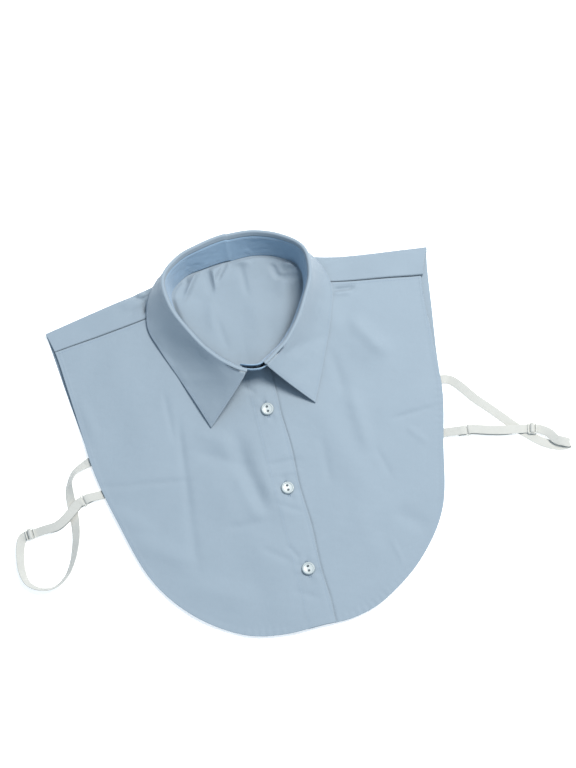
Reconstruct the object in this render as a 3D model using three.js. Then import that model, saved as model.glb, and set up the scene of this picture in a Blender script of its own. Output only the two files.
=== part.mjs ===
// A detachable shirt collar with its short bib, lying on its back on a flat surface.
// X runs across the chest, Y up towards the collar and Z away from the surface, in millimetres.
// The origin is on the underside of the back panel, on the centre line.
import * as THREE from 'three';

// Cloth, tape and clearances
const clothWall = 1.0;
const bandWall = 1.6;
const leafWall = 1.2;
const tapeWall = 1.0;
const tapeWidth = 8;
const gap = 0.3;

// Bib
const shoulderWidth = 352;
const bibLength = 315.6;
const originDown = 130.6;
const armholeShow = 6;
const hemShow = 1.5;
const foldHeight = 2.2;
const foldWidth = 11;
const riseReach = 42;
const backReach = 34;
const ridgeRound = 2.2;

// Collar
const neckWidth = 130;
const neckLength = 134.5;
const neckFront = 39.5;
const collarHeight = 30;
const frontRise = 15;
const leafWidth = 42;
const leafStand = 2.4;
const leafRoll = 1.5;
const leafClear = 1.0;
const leafStartLeft = 11;
const leafStartRight = 5;
const bandTab = 0.05;
const leafLow = 0.1;

// Front closing
const buttonLine = -1.2;
const placketEdge = 11.5;
const underEdge = 12.5;
const buttonWidth = 11.4;
const buttonThick = 2.2;
const buttonHole = 1.8;
const buttonHolePitch = 4;
const firstButton = 12;
const buttonPitch = 73.4;
const buttonCount = 3;
const studWidth = 6;
const studThick = 1;
const lapRoom = 1.2;

// Rings, sliders and where the tapes leave the bib
const wire = 1.4;
const ringAcross = 10.4;
const ringAlong = 5.2;
const ringCorner = 1.6;
const sliderBar = 1.2;
const sliderAcross = 10.6;
const sliderAlong = 7;
const tapeSeat = 11;
const tapeExit = 4;
const tapeClear = 0.1;
const weaveReach = 4.6;
const flatEnd = 3;

// The fold line of the collar from centre back to centre front: where it lies, how far the band
// leans out in degrees, and its height and the height of the seam under it as shares.
const ringRows = [
  { left: 0, leftAlong: 1, right: 0, rightAlong: 1, lean: 24, height: 1, seam: 0.16 },
  { left: 0.382, leftAlong: 0.967, right: 0.382, rightAlong: 0.981, lean: 20, height: 1, seam: 0.19 },
  { left: 0.708, leftAlong: 0.903, right: 0.731, rightAlong: 0.894, lean: 13, height: 1.03, seam: 0.33 },
  { left: 0.965, leftAlong: 0.762, right: 0.965, rightAlong: 0.755, lean: 8, height: 1.1, seam: 0.6 },
  { left: 0.955, leftAlong: 0.558, right: 0.955, rightAlong: 0.572, lean: 7, height: 1.02, seam: 0.87 },
  { left: 0.808, leftAlong: 0.377, right: 0.79, rightAlong: 0.404, lean: 9, height: 0.98, seam: 0.93 },
  { left: 0.608, leftAlong: 0.204, right: 0.6, rightAlong: 0.256, lean: 12, height: 0.94, seam: 0.97 },
  { left: 0.346, leftAlong: 0.069, right: 0.346, rightAlong: 0.123, lean: 17, height: 0.9, seam: 1 },
  { left: 0, leftAlong: 0.014, right: 0, rightAlong: 0.014, lean: 20, height: 0.88, seam: 1 },
];

// The outline from a shoulder corner to centre front at the hem, in shares of half the shoulder
// width and of the bib's length, with how far the front lies inside it and the back inside that.
const outlineRows = [
  { down: 0, left: 1, right: 1.005, leftIn: 0, rightIn: 0, backIn: 0 },
  { down: 0.073, left: 0.985, right: 0.977, leftIn: 0.42, rightIn: 0.78, backIn: 0 },
  { down: 0.181, left: 0.964, right: 0.945, leftIn: 0.33, rightIn: 0.75, backIn: 0 },
  { down: 0.302, left: 0.938, right: 0.907, leftIn: 0.1, rightIn: 0.35, backIn: 0 },
  { down: 0.436, left: 0.914, right: 0.875, leftIn: 0, rightIn: 0.05, backIn: 0.6 },
  { down: 0.579, left: 0.859, right: 0.806, leftIn: 0, rightIn: 0, backIn: 1 },
  { down: 0.76, left: 0.764, right: 0.712, leftIn: 0, rightIn: 0, backIn: 1 },
  { down: 0.885, left: 0.61, right: 0.541, leftIn: 0, rightIn: 0, backIn: 1 },
  { down: 0.97, left: 0.401, right: 0.321, leftIn: 0, rightIn: 0, backIn: 1 },
  { down: 0.9987, left: 0.209, right: 0.153, leftIn: 0, rightIn: 0, backIn: 1 },
  { down: 1, left: 0, right: 0, leftIn: 0, rightIn: 0, backIn: 1 },
];

// The free edge of the collar leaf from centre back to its point, in shares of half the neck width
// and of the neck's length, its height over the front as a share of the leaf's clearance, and how far
// its last stretch turns in as a share of the leaf width.
const leafRows = [
  { left: 0, leftAlong: 1.014, right: 0, rightAlong: 1.014, over: -1, turn: 0.2 },
  { left: 0.39, leftAlong: 1, right: 0.41, rightAlong: 1, over: -1, turn: 0.2 },
  { left: 0.79, leftAlong: 0.955, right: 0.81, rightAlong: 0.935, over: -0.85, turn: 0.12 },
  { left: 1.16, leftAlong: 0.787, right: 1.14, rightAlong: 0.757, over: 3, turn: -0.08 },
  { left: 1.322, leftAlong: 0.56, right: 1.268, rightAlong: 0.54, over: 1.6, turn: -0.26 },
  { left: 1.232, leftAlong: 0.365, right: 1.15, rightAlong: 0.33, over: 1, turn: -0.33 },
  { left: 1.08, leftAlong: 0.155, right: 0.98, rightAlong: 0.13, over: 1, turn: -0.4 },
  { left: 0.93, leftAlong: -0.055, right: 0.79, rightAlong: -0.075, over: 1, turn: -0.45 },
  { left: 0.808, leftAlong: -0.237, right: 0.632, rightAlong: -0.234, over: 1, turn: -0.48 },
];

// Soft folds of the two fronts: both ends in shares of half the shoulder width and of the bib's
// length below the origin, and height and width as shares of the named fold.
const foldRows = [
  { x0: -0.27, y0: 0, x1: -0.05, y1: -0.25, height: 1, width: 1 },
  { x0: -0.36, y0: -0.04, x1: -0.2, y1: -0.4, height: 0.6, width: 1.3 },
  { x0: 0.38, y0: 0.3, x1: 0.6, y1: 0.1, height: 0.9, width: 1 },
  { x0: 0.25, y0: 0.02, x1: 0.38, y1: -0.3, height: 0.7, width: 1.2 },
  { x0: -0.85, y0: -0.1, x1: -0.45, y1: -0.07, height: 0.45, width: 0.8 },
  { x0: 0.5, y0: -0.04, x1: 0.82, y1: 0.01, height: 0.45, width: 0.8 },
  { x0: -0.7, y0: 0.3, x1: -0.62, y1: 0.02, height: 0.5, width: 1.4 },
];

// Where each shoulder's fold leaves the collar, in the shares of the leaf's table.
const ridgeStarts = { left: { across: 1.13, along: 0.845 }, right: { across: 1.077, along: 0.755 } };

// Where each shoulder seam meets the neck, as a share of the ring, and the outline, in rows.
const shoulderSeams = { left: { neck: 0.455, edge: 0.85 }, right: { neck: 0.485, edge: 1.1 } };

// The routes of the two long tapes from the back panel's edge to the slider. X and Y are from the
// middle of the tape's ring, Z is the tape's middle and roll is its turn about its own length.
const leftRoute = [
  { x: 5.5, y: 31.6, z: 1.3, roll: 20 },
  { x: -3, y: 27, z: 3, roll: 45 },
  { x: -8.5, y: 19, z: 3.6, roll: 52 },
  { x: -10.6, y: 9.5, z: 2, roll: 20 },
  { x: -11, y: 1, z: 0.55, roll: 0 },
  { x: -11, y: -9, z: 0.55, roll: 0 },
  { x: -11.4, y: -19, z: 1.8, roll: 20 },
  { x: -13, y: -30, z: 2.6, roll: 32 },
  { x: -16, y: -40, z: 3, roll: 40 },
  { x: -20.5, y: -51, z: 3.4, roll: 50 },
  { x: -28.5, y: -62.5, z: 3.8, roll: 58 },
  { x: -40.5, y: -69.3, z: 4, roll: 64 },
  { x: -52.5, y: -67.5, z: 4, roll: 60 },
  { x: -61, y: -60.5, z: 3.6, roll: 52 },
  { x: -64, y: -49, z: 3.2, roll: 44 },
  { x: -63.3, y: -38, z: 3, roll: 38 },
  { x: -61.5, y: -28, z: 2.6, roll: 30 },
  { x: -59, y: -21, z: 1.8, roll: 14 },
];
const rightRoute = [
  { x: -1.5, y: 49.5, z: 1.1, roll: 8 },
  { x: 4.5, y: 43, z: 1.6, roll: 14 },
  { x: 15.5, y: 27, z: 1, roll: 6 },
  { x: 25, y: 16, z: 0.55, roll: 0 },
  { x: 34.5, y: 4, z: 0.55, roll: 0 },
  { x: 44.5, y: -8.5, z: 0.55, roll: 0 },
  { x: 53, y: -17.5, z: 0.55, roll: 0 },
  { x: 61.5, y: -25.5, z: 0.55, roll: 0 },
  { x: 70.5, y: -31, z: 0.6, roll: 0 },
  { x: 79.5, y: -33.4, z: 0.7, roll: 0 },
  { x: 84.1, y: -33, z: 2.3, roll: 0 },
  { x: 80, y: -31, z: 4.4, roll: -12 },
  { x: 73, y: -27.5, z: 5.4, roll: -30 },
  { x: 69, y: -20, z: 4, roll: -15 },
];
const tapeSides = [
  { name: 'left', side: -1, route: leftRoute, ringOut: 17.5, ringDrop: 33, heading: 14,
    sliderOut: 51, sliderDrop: 18, sliderHeading: 4, tabDrop: 31, middleDrop: 16.5 },
  { name: 'right', side: 1, route: rightRoute, ringOut: 20.5, ringDrop: 51, heading: 6,
    sliderOut: 56, sliderDrop: 12, sliderHeading: 14, tabDrop: 48, middleDrop: 7.5 },
];

// Steps of the surfaces
const spokeSteps = 13;
const bandSteps = 44;
const leafSteps = 34;
const frontSpokes = 24;

// Colours
const cottonBlue = '#a9bfd6';
const bandBlue = '#9db6d1';
const tapeWhite = '#dfe4df';
const buttonWhite = '#eef1f2';
const clearPlastic = '#e6e9e6';

// Worked out from the sizes above
const halfWidth = shoulderWidth / 2;
const backFace = clothWall;
const frontFace = backFace + tapeWall + 2 * gap + clothWall;
const lapLift = clothWall + 2 * gap;
const lapSpread = (bandWall + 3 * gap + clothWall + lapRoom) / 2;
const foldDrop = gap + leafStand + leafRoll + leafWall;
const radians = THREE.MathUtils.degToRad;

const smooth = (from, to, value) => {
  const share = THREE.MathUtils.clamp((value - from) / (to - from), 0, 1);
  return share * share * (3 - 2 * share);
};
const mix = (a, b, share) => a + (b - a) * share;

// A column of a table at a place counted in rows, by a smooth curve through the rows. Past an end
// the rows are mirrored, with their sign kept by 1 and changed by -1, or go straight on by 0.
function column(rows, name, place, first = 1, final = 1) {
  const last = rows.length - 1;
  const row = Math.min(Math.max(Math.floor(place), 0), last - 1);
  const past = (end, inner, sign) => (sign === 0 ? 2 * end - inner : sign * inner);
  const at = (index) => {
    if (index < 0) return past(rows[0][name], rows[1][name], first);
    if (index > last) return past(rows[last][name], rows[last - 1][name], final);
    return rows[index][name];
  };
  const [a, b, c, d] = [at(row - 1), at(row), at(row + 1), at(row + 2)];
  const t = place - row;
  return b + 0.5 * t * (c - a + t * (2 * a - 5 * b + 4 * c - d + t * (3 * (b - c) + d - a)));
}

// The collar's ring at a share of its half length: 0 is centre back, 1 and -1 are centre front
// from the right and from the left, and past them each end laps over the other.
function foldPlan(share) {
  const turned = Math.abs(share) > 1 ? 2 - Math.abs(share) : Math.abs(share);
  const side = Math.sign(share) * (Math.abs(share) > 1 ? -1 : 1);
  const place = turned * (ringRows.length - 1);
  const name = side < 0 ? 'left' : 'right';
  return {
    x: side * column(ringRows, name, place, -1, -1) * neckWidth / 2,
    y: neckFront + column(ringRows, `${name}Along`, place) * neckLength,
    lean: radians(column(ringRows, 'lean', place)),
    height: column(ringRows, 'height', place) * collarHeight,
    rise: column(ringRows, 'seam', place) * frontRise,
  };
}

function ringFrame(share) {
  const step = 0.004;
  const here = foldPlan(share);
  const before = foldPlan(share - step);
  const after = foldPlan(share + step);
  const length = Math.hypot(after.x - before.x, after.y - before.y);
  const out = { x: -(after.y - before.y) / length, y: (after.x - before.x) / length };
  const lap = -Math.sign(share) * lapSpread * smooth(0.84, 0.96, Math.abs(share));
  return { ...here, out, lap };
}

// The left front laps over the right one, so it rises before the buttons.
function lapRise(x) {
  return lapLift * smooth(buttonLine - 4 * underEdge, buttonLine - underEdge - 1, x);
}

// A point of the band: up its height from the seam and out from its middle surface.
function bandPoint(share, up, depth) {
  const ring = ringFrame(share);
  const back = ring.height - up;
  const sideways = ring.lap - back * Math.sin(ring.lean) + depth * Math.cos(ring.lean);
  const x = ring.x + ring.out.x * sideways;
  const y = ring.y + ring.out.y * sideways;
  const lift = share < 0 ? lapRise(x) : 0;
  const z = ring.rise + up * Math.cos(ring.lean) - depth * Math.sin(ring.lean) + lift;
  return new THREE.Vector3(x, y, z);
}

const neckPoint = (share) => bandPoint(share, 0, -bandWall / 2);

const neckSamples = [];
for (let index = -64; index <= 64; index += 1) {
  const share = index / 64;
  const ring = foldPlan(share);
  const point = neckPoint(share);
  neckSamples.push({ share: Math.abs(share), x: point.x, y: point.y, rise: ring.rise });
}

// How far a place lies from the neck seam, up to a share of it from centre back, and the height of
// the seam there.
function nearNeck(x, y, upTo) {
  let best = { far: Infinity, rise: 0 };
  for (let index = 1; index < neckSamples.length; index += 1) {
    const a = neckSamples[index - 1];
    const b = neckSamples[index];
    if (a.share > upTo) continue;
    const dx = b.x - a.x;
    const dy = b.y - a.y;
    const along = ((x - a.x) * dx + (y - a.y) * dy) / (dx * dx + dy * dy);
    const share = Math.min(Math.max(along, 0), 1);
    const far = Math.hypot(x - a.x - share * dx, y - a.y - share * dy);
    if (far < best.far) best = { far, rise: mix(a.rise, b.rise, share) };
  }
  return best;
}

function softFolds(x, y) {
  let height = 0;
  for (const fold of foldRows) {
    const ax = fold.x0 * halfWidth;
    const ay = fold.y0 * bibLength;
    const dx = fold.x1 * halfWidth - ax;
    const dy = fold.y1 * bibLength - ay;
    const length = Math.hypot(dx, dy);
    const along = ((x - ax) * dx + (y - ay) * dy) / length / length;
    const across = ((x - ax) * dy - (y - ay) * dx) / length;
    const ends = smooth(-0.2, 0.25, along) * smooth(1.2, 0.75, along);
    const wide = across / (fold.width * foldWidth);
    height += fold.height * foldHeight * ends * Math.exp(-wide * wide);
  }
  return height;
}

// Height of the upper face of the fronts.
function frontTop(x, y) {
  const { far, rise } = nearNeck(x, y, 1);
  const fade = smooth(0, 30, far);
  return frontFace + (rise - frontFace) * Math.exp(-far / riseReach) + fade * softFolds(x, y);
}

// Height of the upper face of the back, flat but close to the neck.
function backTop(x, y) {
  const { far, rise } = nearNeck(x, y, 0.42);
  const near = Math.max(0, 1 - far / backReach);
  return backFace + (rise - backFace) * near * near;
}

// The bib's outline at a place counted in rows from a shoulder corner. Past centre front it goes
// on along the other side.
function outline(side, place, layer) {
  const last = outlineRows.length - 1;
  const turned = place > last ? 2 * last - place : place;
  const facing = place > last ? -side : side;
  const name = facing < 0 ? 'left' : 'right';
  const frontIn = column(outlineRows, `${name}In`, turned, 0) * armholeShow;
  const backIn = column(outlineRows, 'backIn', turned, 0) * hemShow;
  const inset = layer === 'front' ? frontIn : backIn;
  const low = turned / last;
  const x = column(outlineRows, name, turned, 0, -1) * halfWidth - inset * (1 - low ** 4);
  const y = originDown - column(outlineRows, 'down', turned, 0) * bibLength + inset * low ** 4;
  return { x: facing * Math.max(x, 0), y };
}

function bisect(from, to, aim) {
  let low = from;
  let high = to;
  for (let turn = 0; turn < 40; turn += 1) {
    const middle = (low + high) / 2;
    if (aim(middle) > 0) high = middle;
    else low = middle;
  }
  return (low + high) / 2;
}

function meshOf(name, positions, indices, colour, roughness = 0.85) {
  const geometry = new THREE.BufferGeometry();
  geometry.setAttribute('position', new THREE.Float32BufferAttribute(positions, 3));
  geometry.setIndex(indices);
  geometry.computeVertexNormals();
  const mesh = new THREE.Mesh(geometry, new THREE.MeshStandardMaterial({ color: colour, roughness }));
  mesh.name = name;
  return mesh;
}

// Turns every face round when the closed surface would face inwards.
function facingOut(positions, indices) {
  let volume = 0;
  const point = (index) => new THREE.Vector3().fromArray(positions, 3 * index);
  for (let at = 0; at < indices.length; at += 3) {
    const [a, b, c] = [point(indices[at]), point(indices[at + 1]), point(indices[at + 2])];
    volume += a.dot(b.cross(c));
  }
  if (volume > 0) return indices;
  const turned = [];
  for (let at = 0; at < indices.length; at += 3) turned.push(indices[at], indices[at + 2], indices[at + 1]);
  return turned;
}

// A closed sheet: one face is the grid of points, the other lies a wall away along the normals,
// or straight up where the sheet is nearly level.
function sheet(name, grid, wall, side, colour, level = false) {
  const rows = grid.length;
  const cols = grid[0].length;
  const normalAt = (i, j) => {
    if (level) return new THREE.Vector3(0, 0, side);
    const along = grid[Math.min(i + 1, rows - 1)][j].clone().sub(grid[Math.max(i - 1, 0)][j]);
    const across = grid[i][Math.min(j + 1, cols - 1)].clone().sub(grid[i][Math.max(j - 1, 0)]);
    return along.cross(across).normalize().multiplyScalar(side);
  };
  const positions = [];
  for (let i = 0; i < rows; i += 1) {
    for (let j = 0; j < cols; j += 1) positions.push(...grid[i][j].toArray());
  }
  for (let i = 0; i < rows; i += 1) {
    for (let j = 0; j < cols; j += 1) {
      positions.push(...grid[i][j].clone().addScaledVector(normalAt(i, j), wall).toArray());
    }
  }
  const near = (i, j) => i * cols + j;
  const away = (i, j) => rows * cols + i * cols + j;
  const indices = [];
  const quad = (a, b, c, d) => indices.push(a, b, c, a, c, d);
  for (let i = 0; i + 1 < rows; i += 1) {
    for (let j = 0; j + 1 < cols; j += 1) {
      quad(near(i, j), near(i, j + 1), near(i + 1, j + 1), near(i + 1, j));
      quad(away(i, j), away(i + 1, j), away(i + 1, j + 1), away(i, j + 1));
    }
  }
  for (let i = 0; i + 1 < rows; i += 1) {
    quad(near(i, 0), near(i + 1, 0), away(i + 1, 0), away(i, 0));
    quad(near(i + 1, cols - 1), near(i, cols - 1), away(i, cols - 1), away(i + 1, cols - 1));
  }
  for (let j = 0; j + 1 < cols; j += 1) {
    quad(near(0, j + 1), near(0, j), away(0, j), away(0, j + 1));
    quad(near(rows - 1, j), near(rows - 1, j + 1), away(rows - 1, j + 1), away(rows - 1, j));
  }
  return meshOf(name, positions, facingOut(positions, indices), colour);
}

// Steps along a spoke, closer together by the neck.
const spokeShares = Array.from({ length: spokeSteps + 1 }, (_, index) => (index / spokeSteps) ** 1.35);

// The back: its spokes run from the neck seam to the edge. On each side they begin at the
// shoulder seam on top, turn over the shoulder's fold and go on underneath to the hem.
function backSpokes(side) {
  const spokes = [];
  const seam = shoulderSeams[side < 0 ? 'left' : 'right'];
  const turnFrom = seam.neck - 0.05;
  const turnTo = 0.18;
  const topSteps = 3;
  const turnSteps = 6;
  const lowSteps = 14;
  const last = outlineRows.length - 1;
  const cornerPlace = ridgeRound / (column(outlineRows, 'down', 1) * bibLength);
  for (let step = 0; step < topSteps; step += 1) {
    const share = step / topSteps;
    const edge = mix(seam.edge, cornerPlace, share);
    spokes.push({ neck: mix(seam.neck, turnFrom, share), edge, turn: 1, bend: share });
  }
  for (let step = 0; step <= turnSteps; step += 1) {
    const share = step / turnSteps;
    spokes.push({ neck: mix(turnFrom, turnTo, share), edge: 0, turn: 1 - share, bend: 1 });
  }
  for (let step = 1; step <= lowSteps; step += 1) {
    const share = step / lowSteps;
    const edge = mix(cornerPlace, last, share ** 0.9);
    spokes.push({ neck: turnTo * (1 - share), edge, turn: 0, bend: smooth(0.3, 0, share) });
  }
  return spokes.map((spoke) => ({ ...spoke, side }));
}

function ridgePlan(start, angle) {
  return { x: start.x, y: start.y - ridgeRound * (1 - Math.sin(angle)) };
}

function backPoint(spoke, share) {
  const { side, turn, bend } = spoke;
  const angle = turn * Math.PI;
  const from = neckPoint(side * spoke.neck);
  const rolled = spoke.edge === 0;
  const edge = outline(side, spoke.edge, turn === 1 ? 'front' : 'back');
  const to = rolled ? ridgePlan(edge, angle) : edge;
  const name = side < 0 ? 'left' : 'right';
  const start = {
    x: side * ridgeStarts[name].across * neckWidth / 2,
    y: neckFront + ridgeStarts[name].along * neckLength,
  };
  const bent = ridgePlan(start, angle);
  const middle = {
    x: mix((from.x + to.x) / 2, bent.x, bend),
    y: mix((from.y + to.y) / 2, bent.y, bend),
  };
  const away = 1 - share;
  const x = away * away * from.x + 2 * share * away * middle.x + share * share * to.x;
  const y = away * away * from.y + 2 * share * away * middle.y + share * share * to.y;
  const low = backTop(x, y);
  const high = frontTop(x, y) - clothWall;
  const byNeck = smooth(0, 0.3, turn);
  return new THREE.Vector3(x, y, mix(low, high, mix(byNeck, (1 - Math.cos(angle)) / 2, smooth(0, 0.35, share))));
}

function backPanel() {
  const left = backSpokes(-1);
  const right = backSpokes(1).reverse().slice(1);
  const grid = [...left, ...right].map((spoke) => spokeShares.map((share) => backPoint(spoke, share)));
  return sheet('back_panel', grid, clothWall, 1, cottonBlue);
}

// A front: spokes from the neck seam to the outline, from the shoulder seam to its closing edge.
function frontPanel(name, side, closingX) {
  const over = side < 0;
  const seam = shoulderSeams[over ? 'left' : 'right'];
  const seamGap = 2 * gap;
  const neckEnd = bisect(0.9, 1.12, (share) => -side * (neckPoint(side * share).x - closingX));
  const last = outlineRows.length - 1;
  const edgeEnd = bisect(last - 0.9, last + 0.9, (place) => -side * (outline(side, place, 'front').x - closingX));
  const grid = [];
  for (let spoke = 0; spoke <= frontSpokes; spoke += 1) {
    const turn = spoke / frontSpokes;
    const from = neckPoint(side * mix(seam.neck, neckEnd, turn ** 0.9));
    const to = outline(side, mix(seam.edge, edgeEnd, turn), 'front');
    const drop = seamGap * (1 - smooth(0, 0.1, turn));
    grid.push(spokeShares.map((share) => {
      const x = mix(from.x, to.x, share);
      const y = mix(from.y, to.y, share) - drop;
      return new THREE.Vector3(x, y, frontTop(x, y) - clothWall + (over ? lapRise(x) : 0));
    }));
  }
  return sheet(name, grid, clothWall, 1, cottonBlue, true);
}

// The band ends in a rounded tab past centre front on both sides.
function collarBand() {
  const leftEnd = -bisect(1, 1.12, (share) => neckPoint(-share).x - buttonLine - placketEdge);
  const rightEnd = bisect(1, 1.12, (share) => buttonLine - underEdge - neckPoint(share).x);
  const grid = [];
  for (let step = 0; step <= bandSteps; step += 1) {
    const share = mix(leftEnd, rightEnd, step / bandSteps);
    const toEnd = Math.min(share - leftEnd, rightEnd - share);
    const near = 1 - Math.min(toEnd / bandTab, 1);
    const tab = 0.45 + 0.55 * Math.sqrt(1 - near * near);
    const height = foldPlan(share).height - foldDrop - gap;
    grid.push([0, 0.33, 0.67, 1].map((up) => bandPoint(share, gap + up * tab * height, -bandWall / 2)));
  }
  return sheet('collar_band', grid, bandWall, -1, bandBlue);
}

// One section of the leaf: up from the band, over in a roll, then down to the free edge.
function leafSection(share, end) {
  const ring = ringFrame(share);
  const top = ring.height - foldDrop + gap;
  const side = Math.sign(share) || 1;
  const name = side < 0 ? 'left' : 'right';
  const place = share / end * (leafRows.length - 1);
  const rollEnd = radians(mix(168, 140, smooth(0.3, 0.6, Math.abs(share))));
  const start = bandPoint(share, top, leafWall / 2);
  const stand = bandPoint(share, top + leafStand, leafWall / 2);
  const up = stand.clone().sub(start).normalize();
  const out = bandPoint(share, top, leafWall / 2 + 1).sub(start);
  const section = [start, stand];
  const centre = stand.clone().addScaledVector(out, leafRoll);
  const rollSteps = 4;
  for (let step = 1; step <= rollSteps; step += 1) {
    const angle = rollEnd * step / rollSteps;
    section.push(centre.clone()
      .addScaledVector(out, -leafRoll * Math.cos(angle))
      .addScaledVector(up, leafRoll * Math.sin(angle)));
  }
  const rolled = section[section.length - 1];
  const heading = out.clone().multiplyScalar(Math.sin(rollEnd)).addScaledVector(up, Math.cos(rollEnd));
  const x = side * column(leafRows, name, place, -1, 0) * neckWidth / 2;
  const y = neckFront + column(leafRows, `${name}Along`, place, 1, 0) * neckLength;
  const over = column(leafRows, 'over', place, 1, 0);
  const lift = side < 0 ? lapRise(x) : 0;
  const resting = frontTop(x, y) + lift + over * leafClear;
  const onFloor = smooth(0, -0.6, over);
  const lowest = leafWall + leafLow;
  const edge = new THREE.Vector3(x, y, Math.max(mix(resting, lowest, onFloor), lowest));
  const turn = column(leafRows, 'turn', place, 1, 0) * leafWidth;
  const belly = edge.clone();
  if (turn > 0) belly.add(new THREE.Vector3(ring.out.x * turn, ring.out.y * turn, 0));
  else {
    const back = rolled.clone().sub(edge).setZ(0).normalize();
    belly.addScaledVector(back, -turn).setZ(mix(edge.z, rolled.z, 0.3));
  }
  const reach = rolled.distanceTo(edge) / 3;
  const straight = edge.clone().sub(rolled).normalize();
  heading.lerp(straight, 0.8 * smooth(0.7, 1, share / end)).normalize();
  const first = rolled.clone().addScaledVector(heading, reach);
  const fall = new THREE.CubicBezierCurve3(rolled, first, belly, edge);
  const fallSteps = 7;
  for (let step = 1; step <= fallSteps; step += 1) section.push(fall.getPoint(step / fallSteps));
  return section;
}

function collarLeaf() {
  const leftEnd = -bisect(0.8, 1, (share) => leafStartLeft + foldPlan(-share).x);
  const rightEnd = bisect(0.8, 1, (share) => leafStartRight - foldPlan(share).x);
  const grid = [];
  for (let step = 0; step <= leafSteps; step += 1) {
    const share = mix(leftEnd, rightEnd, step / leafSteps);
    grid.push(leafSection(share, share < 0 ? leftEnd : rightEnd));
  }
  return sheet('collar_leaf', grid, leafWall, 1, cottonBlue);
}

// A flat disc lying on a surface with the given normal, with or without two holes.
function disc(name, at, normal, width, thick, holes) {
  const shape = new THREE.Shape();
  shape.absarc(0, 0, width / 2, 0, 2 * Math.PI, false);
  for (const end of holes ? [-1, 1] : []) {
    const hole = new THREE.Path();
    hole.absarc(0, end * buttonHolePitch / 2, buttonHole / 2, 0, 2 * Math.PI, true);
    shape.holes.push(hole);
  }
  const geometry = new THREE.ExtrudeGeometry(shape, { depth: thick, bevelEnabled: false, curveSegments: 8 });
  const material = new THREE.MeshStandardMaterial({ color: buttonWhite, roughness: 0.3 });
  const mesh = new THREE.Mesh(geometry, material);
  mesh.name = name;
  mesh.quaternion.setFromUnitVectors(new THREE.Vector3(0, 0, 1), normal);
  mesh.position.copy(at).addScaledVector(normal, gap);
  return mesh;
}

function placketButtons() {
  const buttons = [];
  for (let index = 0; index < buttonCount; index += 1) {
    const y = firstButton - index * buttonPitch;
    const reach = buttonWidth / 2;
    const top = (dx, dy) => frontTop(buttonLine + dx, y + dy) + lapRise(buttonLine + dx);
    const slopeX = (top(reach, 0) - top(-reach, 0)) / (2 * reach);
    const slopeY = (top(0, reach) - top(0, -reach)) / (2 * reach);
    const normal = new THREE.Vector3(-slopeX, -slopeY, 1).normalize();
    let raise = 0;
    for (let turn = 0; turn < 24; turn += 1) {
      for (const radius of [0, reach / 2, reach]) {
        const dx = radius * Math.cos(turn * Math.PI / 12);
        const dy = radius * Math.sin(turn * Math.PI / 12);
        raise = Math.max(raise, top(dx, dy) - top(0, 0) - slopeX * dx - slopeY * dy);
      }
    }
    const at = new THREE.Vector3(buttonLine, y, top(0, 0) + raise);
    buttons.push(disc(`placket_button_${index + 1}`, at, normal, buttonWidth, buttonThick, true));
  }
  return buttons;
}

// The press stud between the band's two lapping ends, on the inner one.
function bandStud() {
  const up = (foldPlan(1).height - foldDrop) / 2;
  const at = bandPoint(1, up, bandWall / 2);
  const normal = bandPoint(1, up, bandWall / 2 + 1).sub(at).normalize();
  return disc('band_stud', at, normal, studWidth, studThick, false);
}

// A tape of flat section through stations, each a place and the direction of the tape's width.
function tape(name, stations) {
  const positions = [];
  const indices = [];
  const last = stations.length - 1;
  stations.forEach(({ at, wide }, index) => {
    const along = stations[Math.min(index + 1, last)].at.clone().sub(stations[Math.max(index - 1, 0)].at);
    const thick = along.cross(wide).normalize();
    for (const [u, v] of [[-1, -1], [1, -1], [1, 1], [-1, 1]]) {
      const corner = at.clone()
        .addScaledVector(wide, u * tapeWidth / 2)
        .addScaledVector(thick, v * tapeWall / 2);
      positions.push(...corner.toArray());
    }
  });
  for (let index = 0; index < last; index += 1) {
    for (let corner = 0; corner < 4; corner += 1) {
      const next = (corner + 1) % 4;
      const [a, b] = [4 * index + corner, 4 * index + next];
      indices.push(a, b, b + 4, a, b + 4, a + 4);
    }
  }
  indices.push(0, 2, 1, 0, 3, 2);
  indices.push(4 * last, 4 * last + 1, 4 * last + 2, 4 * last, 4 * last + 2, 4 * last + 3);
  return meshOf(name, positions, facingOut(positions, indices), tapeWhite);
}

// Stations of a soft stretch through chosen points with a roll in degrees. The width keeps its
// side where the tape turns back over itself.
function softStretch(points, steps, before) {
  const curve = new THREE.CatmullRomCurve3(points.map(({ x, y, z }) => new THREE.Vector3(x, y, z)));
  const stations = [];
  let kept = before;
  for (let step = 0; step <= steps; step += 1) {
    const place = step / steps * (points.length - 1);
    const row = Math.min(Math.floor(place), points.length - 2);
    const roll = radians(mix(points[row].roll, points[row + 1].roll, place - row));
    const along = curve.getTangent(step / steps);
    const level = new THREE.Vector3(-along.y, along.x, 0).normalize();
    if (kept && level.dot(kept) < 0) level.negate();
    kept = level;
    const wide = level.clone().multiplyScalar(Math.cos(roll)).setZ(Math.sin(roll));
    wide.addScaledVector(along, -wide.dot(along)).normalize();
    const at = curve.getPoint(step / steps);
    const half = (Math.abs(wide.z) * tapeWidth + Math.sqrt(1 - wide.z ** 2) * tapeWall) / 2;
    at.z = Math.max(at.z, half + tapeClear / 2);
    stations.push({ at, wide });
  }
  return stations;
}

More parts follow.
